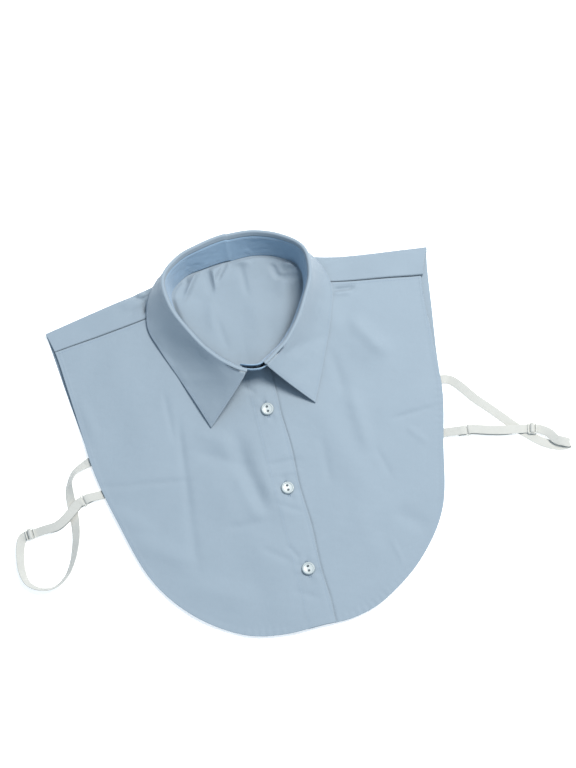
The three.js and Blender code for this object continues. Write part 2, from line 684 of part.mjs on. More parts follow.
// Everything at one side: the tab with its ring, the slider and the long tape.
function tapeSide(spec) {
  const { name, side } = spec;
  const edgeAt = (y, layer) => {
    const place = bisect(1, 8, (row) => y - outline(side, row, layer).y);
    return outline(side, place, layer).x;
  };
  const tabY = tapeExit - spec.tabDrop;
  const tabX = edgeAt(tabY, 'front');
  const seatZ = backFace + gap + tapeWall / 2;
  const lowZ = tapeWall + gap + tapeWall / 2 + tapeClear;
  const turnRadius = wire / 2 + gap + tapeWall / 2;
  const ringZ = lowZ + turnRadius;
  const ringCentre = new THREE.Vector3(tabX + side * spec.ringOut, tapeExit - spec.ringDrop, ringZ);
  const direction = (degrees) => new THREE.Vector3(side * Math.cos(radians(degrees)), -Math.sin(radians(degrees)), 0);
  const outward = direction(spec.heading);
  const across = new THREE.Vector3(-outward.y, outward.x, 0);
  const place = (centre, along, t, z) => centre.clone().addScaledVector(along, t).setZ(z);
  const hairpin = (centre, along, sign, steps) => {
    const turn = [];
    for (let step = 0; step <= steps; step += 1) {
      const angle = Math.PI * step / steps;
      const t = sign * turnRadius * Math.sin(angle);
      turn.push(place(centre, along, t, ringZ + turnRadius * Math.cos(angle)));
    }
    return turn;
  };
  const tabBar = place(ringCentre, outward, -ringAlong / 2, ringZ);
  const tapeBar = place(ringCentre, outward, ringAlong / 2, ringZ);

  const tabStart = new THREE.Vector3(tabX - side * tapeSeat, tabY + 1, seatZ);
  const tabEdge = new THREE.Vector3(tabX + side * 1, tabY, seatZ);
  const tabTop = place(tabBar, outward, -flatEnd, ringZ + turnRadius);
  const tabPoints = [tabStart, tabStart.clone().lerp(tabEdge, 0.5), tabEdge, tabEdge.clone().lerp(tabTop, 0.5), tabTop];
  tabPoints.push(...hairpin(tabBar, outward, 1, 6));
  tabPoints.push(place(tabBar, outward, -flatEnd, lowZ), place(tabBar, outward, -2 * flatEnd, lowZ));
  const tab = tape(`tab_${name}`, tabPoints.map((at) => ({ at, wide: across })));

  const sliderCentre = ringCentre.clone().add(new THREE.Vector3(side * spec.sliderOut, -spec.sliderDrop, 0));
  const sliderOutward = direction(spec.sliderHeading);
  const sliderWide = new THREE.Vector3(-sliderOutward.y, sliderOutward.x, 0);
  const barTurn = sliderBar / 2 + gap + tapeWall / 2;
  const barZ = lowZ + barTurn;
  const weave = [[weaveReach, 0], [flatEnd, 0], [1, 0], [0.3, 0.3], [0, 1]].map(([t, z]) => [barTurn + t, z]);
  const sliderStations = [];
  for (const [t, z] of weave) sliderStations.push(place(sliderCentre, sliderOutward, t, lowZ + z));
  for (let step = 0; step <= 6; step += 1) {
    const angle = Math.PI * step / 6;
    const t = barTurn * Math.cos(angle);
    sliderStations.push(place(sliderCentre, sliderOutward, t, barZ + barTurn * Math.sin(angle)));
  }
  for (const [t, z] of [...weave].reverse()) {
    sliderStations.push(place(sliderCentre, sliderOutward, -t, lowZ + z));
  }

  const exitX = edgeAt(tapeExit, 'back');
  const inside = [-tapeSeat, -tapeSeat / 2, 0, 2].map((t) => (
    { x: exitX + side * t, y: tapeExit + 0.5, z: seatZ, roll: 0 }
  ));
  const route = spec.route.map((row) => ({ ...row, x: ringCentre.x + row.x, y: ringCentre.y + row.y }));
  const entry = { ...sliderStations[0], roll: 0 };
  const softSteps = route.length * 3;
  const soft = softStretch([...inside, ...route, entry], softSteps, null);
  const lastWide = soft[soft.length - 1].wide;
  const keep = (wide, by) => (wide.dot(by) < 0 ? wide.clone().negate() : wide.clone());
  const woven = sliderStations.slice(1).map((at) => ({ at, wide: keep(sliderWide, lastWide) }));

  const leave = sliderStations[sliderStations.length - 1];
  const arrive = place(tapeBar, outward, flatEnd, ringZ + turnRadius);
  const halfway = leave.clone().lerp(arrive, 0.5);
  halfway.y = ringCentre.y - spec.middleDrop;
  const upper = softStretch([
    { ...leave, roll: 0 },
    { ...leave.clone().lerp(halfway, 0.4).setZ(lowZ + 1.5), roll: 0 },
    { ...halfway.clone().setZ(ringZ + turnRadius), roll: 0 },
    { ...arrive, roll: 0 },
  ], 9, woven[0].wide).slice(1);
  const pinWide = keep(across, upper[upper.length - 1].wide);
  const pin = hairpin(tapeBar, outward, -1, 6).map((at) => ({ at, wide: pinWide }));
  const lowerEnd = place(tapeBar, outward, flatEnd, lowZ);
  const lower = softStretch([
    { ...lowerEnd, roll: 0 },
    { ...halfway.clone().setZ(lowZ), roll: 0 },
    { ...leave.clone().lerp(halfway, 0.55).setZ(lowZ), roll: 0 },
  ], 6, pinWide);
  const long = tape(`tape_${name}`, [...soft, ...woven, ...upper, ...pin, ...lower]);

  const angle = Math.atan2(outward.y, outward.x);
  const ring = roundedFrame(`ring_${name}`, ringAlong, ringAcross, wire);
  ring.position.copy(ringCentre);
  ring.rotation.z = angle;
  const slider = sliderFrame(`slider_${name}`);
  slider.position.copy(sliderCentre).setZ(barZ - sliderBar / 2);
  slider.rotation.z = Math.atan2(sliderOutward.y, sliderOutward.x);
  return [tab, ring, slider, long];
}

// A wire bent to a rectangle with round corners, level and centred on its middle.
function roundedFrame(name, along, across, thick) {
  const path = [];
  for (let quarter = 0; quarter < 4; quarter += 1) {
    const [sx, sy] = [[1, 1], [-1, 1], [-1, -1], [1, -1]][quarter];
    for (let step = 0; step <= 3; step += 1) {
      const angle = Math.PI / 2 * (quarter + step / 3);
      path.push([
        sx * (along / 2 - ringCorner) + ringCorner * Math.cos(angle),
        sy * (across / 2 - ringCorner) + ringCorner * Math.sin(angle),
      ]);
    }
  }
  const sides = 6;
  const count = path.length;
  const positions = [];
  const indices = [];
  path.forEach(([x, y], index) => {
    const before = path[(index + count - 1) % count];
    const after = path[(index + 1) % count];
    const length = Math.hypot(after[0] - before[0], after[1] - before[1]);
    const out = [(after[1] - before[1]) / length, -(after[0] - before[0]) / length];
    for (let turn = 0; turn < sides; turn += 1) {
      const angle = 2 * Math.PI * turn / sides;
      const reach = thick / 2 * Math.cos(angle);
      positions.push(x + out[0] * reach, y + out[1] * reach, thick / 2 * Math.sin(angle));
    }
  });
  for (let index = 0; index < count; index += 1) {
    const next = (index + 1) % count;
    for (let turn = 0; turn < sides; turn += 1) {
      const [a, b] = [index * sides + turn, index * sides + (turn + 1) % sides];
      const [c, d] = [next * sides + turn, next * sides + (turn + 1) % sides];
      indices.push(a, b, d, a, d, c);
    }
  }
  return meshOf(name, positions, facingOut(positions, indices), clearPlastic, 0.35);
}

// A flat plate of three bars and two ends with two open slots, centred on its middle.
function sliderFrame(name) {
  const outer = sliderAlong / 2 + sliderBar / 2;
  const inner = sliderAlong / 2 - sliderBar / 2;
  const slotHigh = tapeWidth / 2 + gap;
  const xs = [-outer, -inner, -sliderBar / 2, sliderBar / 2, inner, outer];
  const ys = [-sliderAcross / 2, -slotHigh, slotHigh, sliderAcross / 2];
  const filled = (i, j) => i >= 0 && i < 5 && j >= 0 && j < 3 && !(j === 1 && (i === 1 || i === 3));
  const positions = [];
  for (const z of [0, sliderBar]) {
    for (const x of xs) for (const y of ys) positions.push(x, y, z);
  }
  const low = (i, j) => i * ys.length + j;
  const high = (i, j) => low(i, j) + xs.length * ys.length;
  const indices = [];
  const quad = (a, b, c, d) => indices.push(a, b, c, a, c, d);
  for (let i = 0; i < 5; i += 1) {
    for (let j = 0; j < 3; j += 1) {
      if (!filled(i, j)) continue;
      quad(high(i, j), high(i + 1, j), high(i + 1, j + 1), high(i, j + 1));
      quad(low(i, j), low(i, j + 1), low(i + 1, j + 1), low(i + 1, j));
      if (!filled(i - 1, j)) quad(low(i, j), high(i, j), high(i, j + 1), low(i, j + 1));
      if (!filled(i + 1, j)) quad(low(i + 1, j), low(i + 1, j + 1), high(i + 1, j + 1), high(i + 1, j));
      if (!filled(i, j - 1)) quad(low(i, j), low(i + 1, j), high(i + 1, j), high(i, j));
      if (!filled(i, j + 1)) quad(low(i, j + 1), high(i, j + 1), high(i + 1, j + 1), low(i + 1, j + 1));
    }
  }
  return meshOf(name, positions, facingOut(positions, indices), clearPlastic, 0.35);
}

const bib = new THREE.Group();
bib.add(backPanel());
bib.add(frontPanel('front_panel_over', -1, buttonLine + placketEdge));
bib.add(frontPanel('front_panel_under', 1, buttonLine - underEdge));
bib.add(collarBand(), collarLeaf(), bandStud(), ...placketButtons());
for (const spec of tapeSides) bib.add(...tapeSide(spec));

export default bib;
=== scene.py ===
"""A detachable shirt collar with its short bib, lying on its back: cloth, buttons, tapes, light and camera.

Lengths are in millimetres until a mesh is made. X runs across the chest, Y up towards the collar and
Z away from the surface it lies on.
"""
import math

import bpy
import numpy as np
from mathutils import Matrix


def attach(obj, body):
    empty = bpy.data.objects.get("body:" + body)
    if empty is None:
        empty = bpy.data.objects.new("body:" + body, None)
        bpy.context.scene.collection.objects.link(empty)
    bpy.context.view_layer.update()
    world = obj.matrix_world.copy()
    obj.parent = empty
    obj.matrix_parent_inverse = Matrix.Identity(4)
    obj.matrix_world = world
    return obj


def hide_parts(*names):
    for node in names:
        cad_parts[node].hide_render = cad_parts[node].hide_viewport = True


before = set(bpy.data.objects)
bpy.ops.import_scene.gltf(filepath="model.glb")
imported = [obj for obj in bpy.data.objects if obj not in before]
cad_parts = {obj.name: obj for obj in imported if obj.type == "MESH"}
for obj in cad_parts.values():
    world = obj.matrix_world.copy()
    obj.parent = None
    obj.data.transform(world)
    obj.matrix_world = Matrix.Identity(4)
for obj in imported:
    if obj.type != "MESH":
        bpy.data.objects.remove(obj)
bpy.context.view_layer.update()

# Cloth, tape and clearances
CLOTH_WALL = 1.0
BAND_WALL = 1.6
LEAF_WALL = 1.2
TAPE_WALL = 1.0
TAPE_WIDTH = 8.0
GAP = 0.3
CLOTH = 0.5
LEAF_CLOTH = 0.9
BAND_CLOTH = 1.4

# Bib
HALF_WIDTH = 176.0
BIB_LENGTH = 315.6
ORIGIN_DOWN = 130.6
ARMHOLE_SHOW = 6.0
HEM_SHOW = 1.5
FOLD_HEIGHT = 2.2
FOLD_WIDTH = 11.0
RISE_REACH = 42.0
BACK_REACH = 34.0
RIDGE_ROUND = 2.2
HEM_WIDTH = 3.6
HEM_STITCH = 2.3
ARMHOLE_SHORT = 2.1
SEAM_DROP = 0.08

# How much higher the creases and puckers stand than their tables say, and the groove round a row of stitches
CREASE_RISE = 1.9
PUCKER_RISE = 2.4
GROOVE = 0.5

# Sewing thread as it lies in the cloth
STITCH_LENGTH = 1.9
STITCH_STEP = 2.4
STITCH_WIDE = 0.34

# Collar
NECK_WIDTH = 130.0
NECK_LENGTH = 134.5
NECK_FRONT = 39.5
COLLAR_HEIGHT = 30.0
FRONT_RISE = 15.0
LEAF_WIDTH = 42.0
LEAF_STAND = 2.4
LEAF_ROLL = 1.5
LEAF_CLEAR = 1.0
LEAF_START_LEFT = 11.0
LEAF_START_RIGHT = 5.0
BAND_TAB = 0.05
LEAF_LOW = 0.1
LEAF_STITCH = 2.3
BAND_STITCH = 2.2
HALF_RING = 195.0
FOLD_ROUND = 0.55

# Front closing
BUTTON_LINE = -1.2
PLACKET_EDGE = 11.5
UNDER_EDGE = 12.5
BUTTON_WIDTH = 11.4
BUTTON_HOLE_PITCH = 4.0
FIRST_BUTTON = 12.0
BUTTON_PITCH = 73.4
BUTTON_COUNT = 3
STUD_WIDTH = 6.0
STUD_THICK = 1.0
LAP_ROOM = 1.2
BUTTONHOLE = 15.0
WELT_OUT = 0.8
FACING = -13.0
FACING_STITCH = 1.2
EDGE_STITCH = 2.0

# Rings, sliders and where the tapes leave the bib
WIRE = 1.4
RING_ACROSS = 10.4
RING_ALONG = 5.2
RING_CORNER = 1.6
SLIDER_BAR = 1.2
SLIDER_ACROSS = 10.6
SLIDER_ALONG = 7.0
TAPE_SEAT = 11.0
TAPE_EXIT = 4.0
TAPE_CLEAR = 0.1
WEAVE_REACH = 4.6
FLAT_END = 3.0
WIRE_SIDES = 14

# Threads of the cloth and ribs of the elastic, in metres from one to the next
THREAD_PITCH = 0.00042
RIB_PITCH = 0.00105
RUNG_PITCH = 0.0008

# Camera: angles in degrees, its distance in metres, and places in the picture in pixels
CAMERA_TILT = 70
CAMERA_TURN = -14
CAMERA_FAR = 1.6
CAMERA_LENS = 85.227
MM_PER_PIXEL = 0.88
PICTURE_MIDDLE = (288, 384)
ORIGIN_PIXEL = (272, 425)

BACK_FACE = CLOTH_WALL
FRONT_FACE = BACK_FACE + TAPE_WALL + 2 * GAP + CLOTH_WALL
LAP_LIFT = CLOTH_WALL + 2 * GAP
LAP_SPREAD = (BAND_WALL + 3 * GAP + CLOTH_WALL + LAP_ROOM) / 2
FOLD_DROP = GAP + LEAF_STAND + LEAF_ROLL + LEAF_WALL


def table(names, rows):
    """The columns of a table by name."""
    values = np.array(rows, float)
    return {name: values[:, index] for index, name in enumerate(names.split())}


# The fold line of the collar from centre back to centre front.
RING = table("left leftAlong right rightAlong lean height seam", [
    (0, 1, 0, 1, 24, 1, 0.16),
    (0.382, 0.967, 0.382, 0.981, 20, 1, 0.19),
    (0.708, 0.903, 0.731, 0.894, 13, 1.03, 0.33),
    (0.965, 0.762, 0.965, 0.755, 8, 1.1, 0.6),
    (0.955, 0.558, 0.955, 0.572, 7, 1.02, 0.87),
    (0.808, 0.377, 0.79, 0.404, 9, 0.98, 0.93),
    (0.608, 0.204, 0.6, 0.256, 12, 0.94, 0.97),
    (0.346, 0.069, 0.346, 0.123, 17, 0.9, 1),
    (0, 0.014, 0, 0.014, 20, 0.88, 1),
])

# The outline from a shoulder corner to centre front at the hem.
OUTLINE = table("down left right leftIn rightIn backIn", [
    (0, 1, 1.005, 0, 0, 0),
    (0.073, 0.985, 0.977, 0.42, 0.78, 0),
    (0.181, 0.964, 0.945, 0.33, 0.75, 0),
    (0.302, 0.938, 0.907, 0.1, 0.35, 0),
    (0.436, 0.914, 0.875, 0, 0.05, 0.6),
    (0.579, 0.859, 0.806, 0, 0, 1),
    (0.76, 0.764, 0.712, 0, 0, 1),
    (0.885, 0.61, 0.541, 0, 0, 1),
    (0.97, 0.401, 0.321, 0, 0, 1),
    (0.9987, 0.209, 0.153, 0, 0, 1),
    (1, 0, 0, 0, 0, 1),
])

# The free edge of the leaf from centre back to its point.
LEAF = table("left leftAlong right rightAlong over turn", [
    (0, 1.014, 0, 1.014, -1, 0.2),
    (0.39, 1, 0.41, 1, -1, 0.2),
    (0.79, 0.955, 0.81, 0.935, -0.85, 0.12),
    (1.16, 0.787, 1.14, 0.757, 3, -0.08),
    (1.322, 0.56, 1.268, 0.54, 1.6, -0.26),
    (1.232, 0.365, 1.15, 0.33, 1, -0.33),
    (1.08, 0.155, 0.98, 0.13, 1, -0.4),
    (0.93, -0.055, 0.79, -0.075, 1, -0.45),
    (0.808, -0.237, 0.632, -0.234, 1, -0.48),
])

# Soft folds of the two fronts, in shares of the half width, the bib's length and the fold's size.
FOLDS = table("x0 y0 x1 y1 height width", [
    (-0.27, 0, -0.05, -0.25, 1, 1),
    (-0.36, -0.04, -0.2, -0.4, 0.6, 1.3),
    (0.38, 0.3, 0.6, 0.1, 0.9, 1),
    (0.25, 0.02, 0.38, -0.3, 0.7, 1.2),
    (-0.85, -0.1, -0.45, -0.07, 0.45, 0.8),
    (0.5, -0.04, 0.82, 0.01, 0.45, 0.8),
    (-0.7, 0.3, -0.62, 0.02, 0.5, 1.4),
])

# Small creases of the fronts in millimetres: both ends, height and width of each.
CREASES = table("x0 y0 x1 y1 height width", [
    (-36, -6, -26, -72, -2.6, 8.5), (-39, -39, -30, -85, 1, 7), (-69, -11, -31, -33, -0.65, 6),
    (-64, 5, -34, -14, 0.5, 7), (-80, 18, -87, -51, -0.6, 3.6), (-87, -46, -93, -106, -0.55, 4.5),
    (-160, -21, -85, -33, -0.5, 2.4), (-140, -74, -98, -105, 0.8, 9), (-86, 49, -87, 4, -0.4, 3),
    (-102, -124, -54, -150, 0.6, 10), (-159, 60, -153, 22, 0.5, 6), (-154, -42, -125, -69, 0.5, 7),
    (-59, -84, -24, -85, -0.5, 4), (-35, -108, -15, -124, -0.4, 3.5), (92, 77, 114, 39, 2.2, 8),
    (75, 9, 76, -41, 1.2, 7), (105, -21, 143, -19, -0.6, 2.6), (115, -33, 127, -48, 0.4, 3),
    (84, 109, 102, 108, -1.4, 2.4), (83, -43, 89, -72, -0.4, 3), (85, -103, 107, -123, -0.7, 7),
    (75, -128, 79, -149, 0.3, 2), (66, 54, 69, 12, -0.6, 5), (53, -86, 60, -142, 0.4, 9),
    (39, -26, 36, -63, -0.4, 4), (-13, -37, 16, -38, -0.5, 2.6), (-11, -46, 13, -48, 0.4, 2.4),
    (-16, -71, 7, -85, -0.3, 2.6), (-13, -111, -6, -126, -0.4, 2.4), (-18, -150, 2, -162, -0.3, 3),
    (-17, 38, -8, 28, -0.5, 2.4), (-84, 135, -85.5, 128, -1.2, 1.6), (-86, 143, -77, 145, -1, 1.6),
    (-82, 139, -104, 139, 0.6, 4), (-100, 130, -86, 136, -0.5, 2.6), (-136, 126, -107, 132, 0.35, 6),
    (-83, 140, -86, 128, -1.3, 1.6), (-98, 156, -81, 144, 1.1, 2.6), (-92, 147, -82, 138, -0.9, 2.2),
    (-106, 149, -86, 147, -0.7, 3), (84, 104, 98, 103, 0.7, 2.4),
])

# Small creases of the leaf in millimetres, as those of the fronts are.
LEAF_CREASES = table("x0 y0 x1 y1 height width", [
    (23, 52, 63, 65, -0.9, 4.5), (24, 44, 48, 47, 0.4, 5), (-72, 93, -21, 49, -0.5, 6),
    (-71, 61, -48, 48, 0.35, 4), (-71, 127, -55, 128, -0.3, 5),
])

# Puckers of the back under the band in millimetres, as the creases are.
PUCKERS = table("x0 y0 x1 y1 height width", [
    (-57, 153, -50, 153, -1.2, 1.8), (-47, 162, -43, 148, -1.8, 2.2), (-28, 162, -47, 134, 1.6, 2.6),
    (-24, 159, -23, 136, -1.5, 4), (-17, 155, -19, 137, 0.7, 2.4), (-3, 161, -15, 146, -1.3, 1.8),
    (3, 160, 17, 154, 0.9, 3), (8, 153, 8, 126, -0.6, 3), (-25, 110, -21, 79, -0.4, 3),
    (36, 147, 38, 135, -1.6, 2.2), (46, 143, 62, 139, 1.8, 3), (38, 135, 60, 128, -1.2, 2.4),
    (53, 124, 48, 90, -1, 7), (-26, 129, -29, 99, 0.4, 5), (11, 119, 10, 80, 0.4, 8),
])

RIDGE_STARTS = {"left": (1.13, 0.845), "right": (1.077, 0.755)}
SEAMS = {"left": (0.455, 0.85), "right": (0.485, 1.1)}

# The long tapes' routes from the back's edge to the slider, from the middle of the ring, with roll.
LEFT_ROUTE = [
    (5.5, 31.6, 1.3, 20), (-3, 27, 3, 45), (-8.5, 19, 3.6, 52), (-10.6, 9.5, 2, 20),
    (-11, 1, 0.55, 0), (-11, -9, 0.55, 0), (-11.4, -19, 1.8, 20), (-13, -30, 2.6, 32),
    (-16, -40, 3, 40), (-20.5, -51, 3.4, 50), (-28.5, -62.5, 3.8, 58), (-40.5, -69.3, 4, 64),
    (-52.5, -67.5, 4, 60), (-61, -60.5, 3.6, 52), (-64, -49, 3.2, 44), (-63.3, -38, 3, 38),
    (-61.5, -28, 2.6, 30), (-59, -21, 1.8, 14),
]
RIGHT_ROUTE = [
    (-1.5, 49.5, 1.1, 8), (4.5, 43, 1.6, 14), (15.5, 27, 1, 6), (25, 16, 0.55, 0),
    (34.5, 4, 0.55, 0), (44.5, -8.5, 0.55, 0), (53, -17.5, 0.55, 0), (61.5, -25.5, 0.55, 0),
    (70.5, -31, 0.6, 0), (79.5, -33.4, 0.7, 0), (84.1, -33, 2.3, 0), (80, -31, 4.4, 12),
    (73, -27.5, 5.4, 30), (69, -20, 4, 15),
]
TAPE_SIDES = [
    {"name": "left", "side": -1, "route": LEFT_ROUTE, "ring_out": 17.5, "ring_drop": 33, "heading": 14,
     "slider_out": 51, "slider_drop": 18, "slider_heading": 4, "tab_drop": 31, "middle_drop": 16.5},
    {"name": "right", "side": 1, "route": RIGHT_ROUTE, "ring_out": 20.5, "ring_drop": 51, "heading": 6,
     "slider_out": 56, "slider_drop": 12, "slider_heading": 14, "tab_drop": 48, "middle_drop": 7.5},
]


def smooth(start, end, value):
    """A soft step from 0 at start to 1 at end: 3 s squared minus 2 s cubed."""
    share = np.clip((np.asarray(value, float) - start) / (end - start), 0, 1)
    return share * share * (3 - 2 * share)


def mix(a, b, share):
    """The value a share of the way from a to b."""
    return a + (b - a) * share


def unit(vectors):
    """Vectors of length 1."""
    return vectors / (np.linalg.norm(vectors, axis=-1, keepdims=True) + 1e-12)


def bell(value, width):
    """A soft hump of height 1 at 0, down to 0.37 at its width."""
    return np.exp(-((value / width) ** 2))


def run_along(path):
    """The length of a path of points up to each of them."""
    return np.concatenate([[0], np.cumsum(np.linalg.norm(np.diff(path, axis=0), axis=1))])


def at_run(places, run, points):
    """Points between given points, at places along their run."""
    return np.stack([np.interp(places, run, points[:, axis]) for axis in range(3)], -1)


def averaged(padded, weights):
    """A weighted running sum of padded rows of three numbers."""
    return np.stack([np.convolve(padded[:, axis], weights, "valid") for axis in range(3)], -1)


def column(rows, name, place, first=1, final=1):
    """A column at places counted in rows, on a smooth curve through the rows.

    Past an end the rows are mirrored, with their sign kept by 1 and changed by -1, or go straight on by 0.
    """
    values = rows[name]
    before = 2 * values[0] - values[1] if first == 0 else first * values[1]
    after = 2 * values[-1] - values[-2] if final == 0 else final * values[-2]
    padded = np.concatenate([[before], values, [after]])
    place = np.asarray(place, float)
    row = np.clip(np.floor(place).astype(int), 0, len(values) - 2)
    a, b, c, d = (padded[row + step] for step in range(4))
    t = place - row
    return b + 0.5 * t * (c - a + t * (2 * a - 5 * b + 4 * c - d + t * (3 * (b - c) + d - a)))


def by_side(rows, ending, side, place, first, final):
    """The left or the right column of a table, by the sign of side."""
    left = column(rows, "left" + ending, place, first, final)
    right = column(rows, "right" + ending, place, first, final)
    return np.where(side < 0, left, right)


def fold_plan(share):
    """The collar's fold at shares of its half length: plan, lean, height, and height of the seam."""
    share = np.asarray(share, float)
    far = np.abs(share)
    turned = np.where(far > 1, 2 - far, far)
    side = np.sign(share) * np.where(far > 1, -1, 1)
    place = turned * (len(RING["left"]) - 1)
    x = side * by_side(RING, "", side, place, -1, -1) * NECK_WIDTH / 2
    y = NECK_FRONT + by_side(RING, "Along", side, place, 1, 1) * NECK_LENGTH
    lean = np.radians(column(RING, "lean", place))
    height = column(RING, "height", place) * COLLAR_HEIGHT
    rise = column(RING, "seam", place) * FRONT_RISE
    return x, y, lean, height, rise


def lap_rise(x):
    """How far the left front is lifted where it laps over the right one."""
    return LAP_LIFT * smooth(BUTTON_LINE - 4 * UNDER_EDGE, BUTTON_LINE - UNDER_EDGE - 1, x)


def ring_out(share):
    """The level direction out of the ring, square to the fold line."""
    step = 0.004
    before = fold_plan(share - step)
    after = fold_plan(share + step)
    along = np.stack([after[0] - before[0], after[1] - before[1]], -1)
    along = unit(along)
    return -along[..., 1], along[..., 0]


def band_point(share, up, depth):
    """A point of the band: up its height from the seam, and depth out from its middle surface."""
    share, up, depth = np.broadcast_arrays(np.asarray(share, float), up, depth)
    x, y, lean, height, rise = fold_plan(share)
    out_x, out_y = ring_out(share)
    lap = -np.sign(share) * LAP_SPREAD * smooth(0.84, 0.96, np.abs(share))
    sideways = lap - (height - up) * np.sin(lean) + depth * np.cos(lean)
    x = x + out_x * sideways
    y = y + out_y * sideways
    z = rise + up * np.cos(lean) - depth * np.sin(lean) + np.where(share < 0, lap_rise(x), 0)
    return np.stack([x, y, z], -1)


def neck_point(share):
    """The neck seam."""
    return band_point(share, 0, -BAND_WALL / 2)


NECK_SHARES = np.linspace(-1, 1, 129)
NECK_LINE = neck_point(NECK_SHARES)[:, :2]
NECK_RISES = fold_plan(NECK_SHARES)[4]


def near_line(x, y, line, values):
    """The distance of places to a line of points, and a value of the line at the nearest place."""
    places = np.stack([np.ravel(x), np.ravel(y)], -1)
    far = np.empty(len(places))
    value = np.empty(len(places))
    start = line[:-1]
    along = line[1:] - start
    squared = (along ** 2).sum(-1)
    for first in range(0, len(places), 8000):
        part = places[first:first + 8000]
        offset = part[:, None] - start[None]
        share = np.clip((offset * along).sum(-1) / squared, 0, 1)
        away = ((offset - share[..., None] * along) ** 2).sum(-1)
        best = away.argmin(1)
        row = np.arange(len(part))
        far[first:first + 8000] = np.sqrt(away[row, best])
        value[first:first + 8000] = mix(values[best], values[best + 1], share[row, best])
    return far.reshape(np.shape(x)), value.reshape(np.shape(x))


def ridges(rows, x, y, soft_ends=0.2):
    """A sum of long humps: each has a bell profile across its line and soft ends."""
    height = np.zeros(np.shape(x))
    columns = (rows[name] for name in ("x0", "y0", "x1", "y1", "height", "width"))
    for x0, y0, x1, y1, tall, wide in zip(*columns):
        length = math.hypot(x1 - x0, y1 - y0)
        along = ((x - x0) * (x1 - x0) + (y - y0) * (y1 - y0)) / length ** 2
        across = ((x - x0) * (y1 - y0) - (y - y0) * (x1 - x0)) / length
        ends = smooth(-soft_ends, 0.25, along) * smooth(1 + soft_ends, 0.75, along)
        height += tall * ends * bell(across, wide)
    return height


SOFT_FOLDS = {
    "x0": FOLDS["x0"] * HALF_WIDTH, "y0": FOLDS["y0"] * BIB_LENGTH,
    "x1": FOLDS["x1"] * HALF_WIDTH, "y1": FOLDS["y1"] * BIB_LENGTH,
    "height": FOLDS["height"] * FOLD_HEIGHT, "width": FOLDS["width"] * FOLD_WIDTH,
}


def wander(x, y, length, seed):
    """Soft random waves of about one length: a quarter of the sum of twelve seeded plane waves."""
    random = np.random.default_rng(seed)
    height = np.zeros(np.broadcast(x, y).shape)
    for _ in range(12):
        angle = random.uniform(0, 2 * math.pi)
        turns = 2 * math.pi / (length * random.uniform(0.75, 1.5))
        phase = random.uniform(0, 2 * math.pi)
        height += np.cos(turns * (x * math.cos(angle) + y * math.sin(angle)) + phase)
    return height / 4


def front_top(x, y):
    """The upper face of the fronts: it falls off from the neck seam, with the soft folds on it."""
    far, rise = near_line(x, y, NECK_LINE, NECK_RISES)
    fade = smooth(0, 30, far)
    return FRONT_FACE + (rise - FRONT_FACE) * np.exp(-far / RISE_REACH) + fade * ridges(SOFT_FOLDS, x, y)


def back_top(x, y):
    """The upper face of the back: flat, and lifted as a square by the neck seam at the back."""
    back = np.abs(NECK_SHARES) <= 0.42
    far, rise = near_line(x, y, NECK_LINE[back], NECK_RISES[back])
    near = np.maximum(0, 1 - far / BACK_REACH)
    return BACK_FACE + (rise - BACK_FACE) * near * near


def outline(side, place, layer):
    """The bib's edge at places counted in rows from a shoulder corner, going on past centre front."""
    last = len(OUTLINE["down"]) - 1
    place = np.asarray(place, float)
    turned = np.where(place > last, 2 * last - place, place)
    facing = np.where(place > last, -side, side)
    front_in = by_side(OUTLINE, "In", facing, turned, 0, 1) * ARMHOLE_SHOW
    back_in = column(OUTLINE, "backIn", turned, 0) * HEM_SHOW
    inset = front_in if layer == "front" else back_in
    low = (turned / last) ** 4
    x = by_side(OUTLINE, "", facing, turned, 0, -1) * HALF_WIDTH - inset * (1 - low)
    y = ORIGIN_DOWN - column(OUTLINE, "down", turned, 0) * BIB_LENGTH + inset * low
    return facing * np.maximum(x, 0), y


def bisect(low, high, aim):
    """Where a rising function passes zero."""
    for _ in range(40):
        middle = (low + high) / 2
        if aim(middle) > 0:
            high = middle
        else:
            low = middle
    return (low + high) / 2


def spread(count, tight):
    """Shares from 0 to 1, with a few more close to both ends."""
    ends = tight * np.array([0, 0.12, 0.35, 0.65])
    return np.concatenate([ends, np.linspace(tight, 1 - tight, count), 1 - ends[::-1]])


def grid_normals(grid):
    """The unit normals of a grid of points."""
    down = np.gradient(grid, axis=0)
    across = np.gradient(grid, axis=1)
    return unit(np.cross(down, across))


def to_rims(grid):
    """Distances from a grid's rims along its lines: from the first and last row, first and last column."""
    down = np.zeros(grid.shape[:2])
    across = np.zeros(grid.shape[:2])
    down[1:] = np.cumsum(np.linalg.norm(np.diff(grid, axis=0), axis=-1), axis=0)
    across[:, 1:] = np.cumsum(np.linalg.norm(np.diff(grid, axis=1), axis=-1), axis=1)
    return down, down[-1] - down, across, across[:, -1:] - across


def make_mesh(name, points, faces, finish, slot, node=None, pattern=None):
    """A smooth piece from points in millimetres, in place of a solid when one is named.

    The pattern map is in millimetres too, one place for each point.
    """
    mesh = bpy.data.meshes.new(name)
    mesh.from_pydata((points / 1000).tolist(), [], faces.tolist() if isinstance(faces, np.ndarray) else faces)
    if pattern is not None:
        corners = np.empty(len(mesh.loops), np.int32)
        mesh.loops.foreach_get("vertex_index", corners)
        layer = mesh.uv_layers.new(name="pattern")
        layer.uv.foreach_set("vector", (pattern[corners] / 1000).ravel().astype(np.float32))
    mesh.polygons.foreach_set("use_smooth", np.ones(len(mesh.polygons), bool))
    mesh.materials.append(finish)
    mesh.update()
    piece = bpy.data.objects.new(name, mesh)
    bpy.context.scene.collection.objects.link(piece)
    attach(piece, "root")
    if node is not None:
        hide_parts(node)
    return piece


def quads(ids):
    """The faces of a grid of vertex numbers."""
    return np.stack([ids[:-1, :-1], ids[:-1, 1:], ids[1:, 1:], ids[1:, :-1]], -1).reshape(-1, 4)


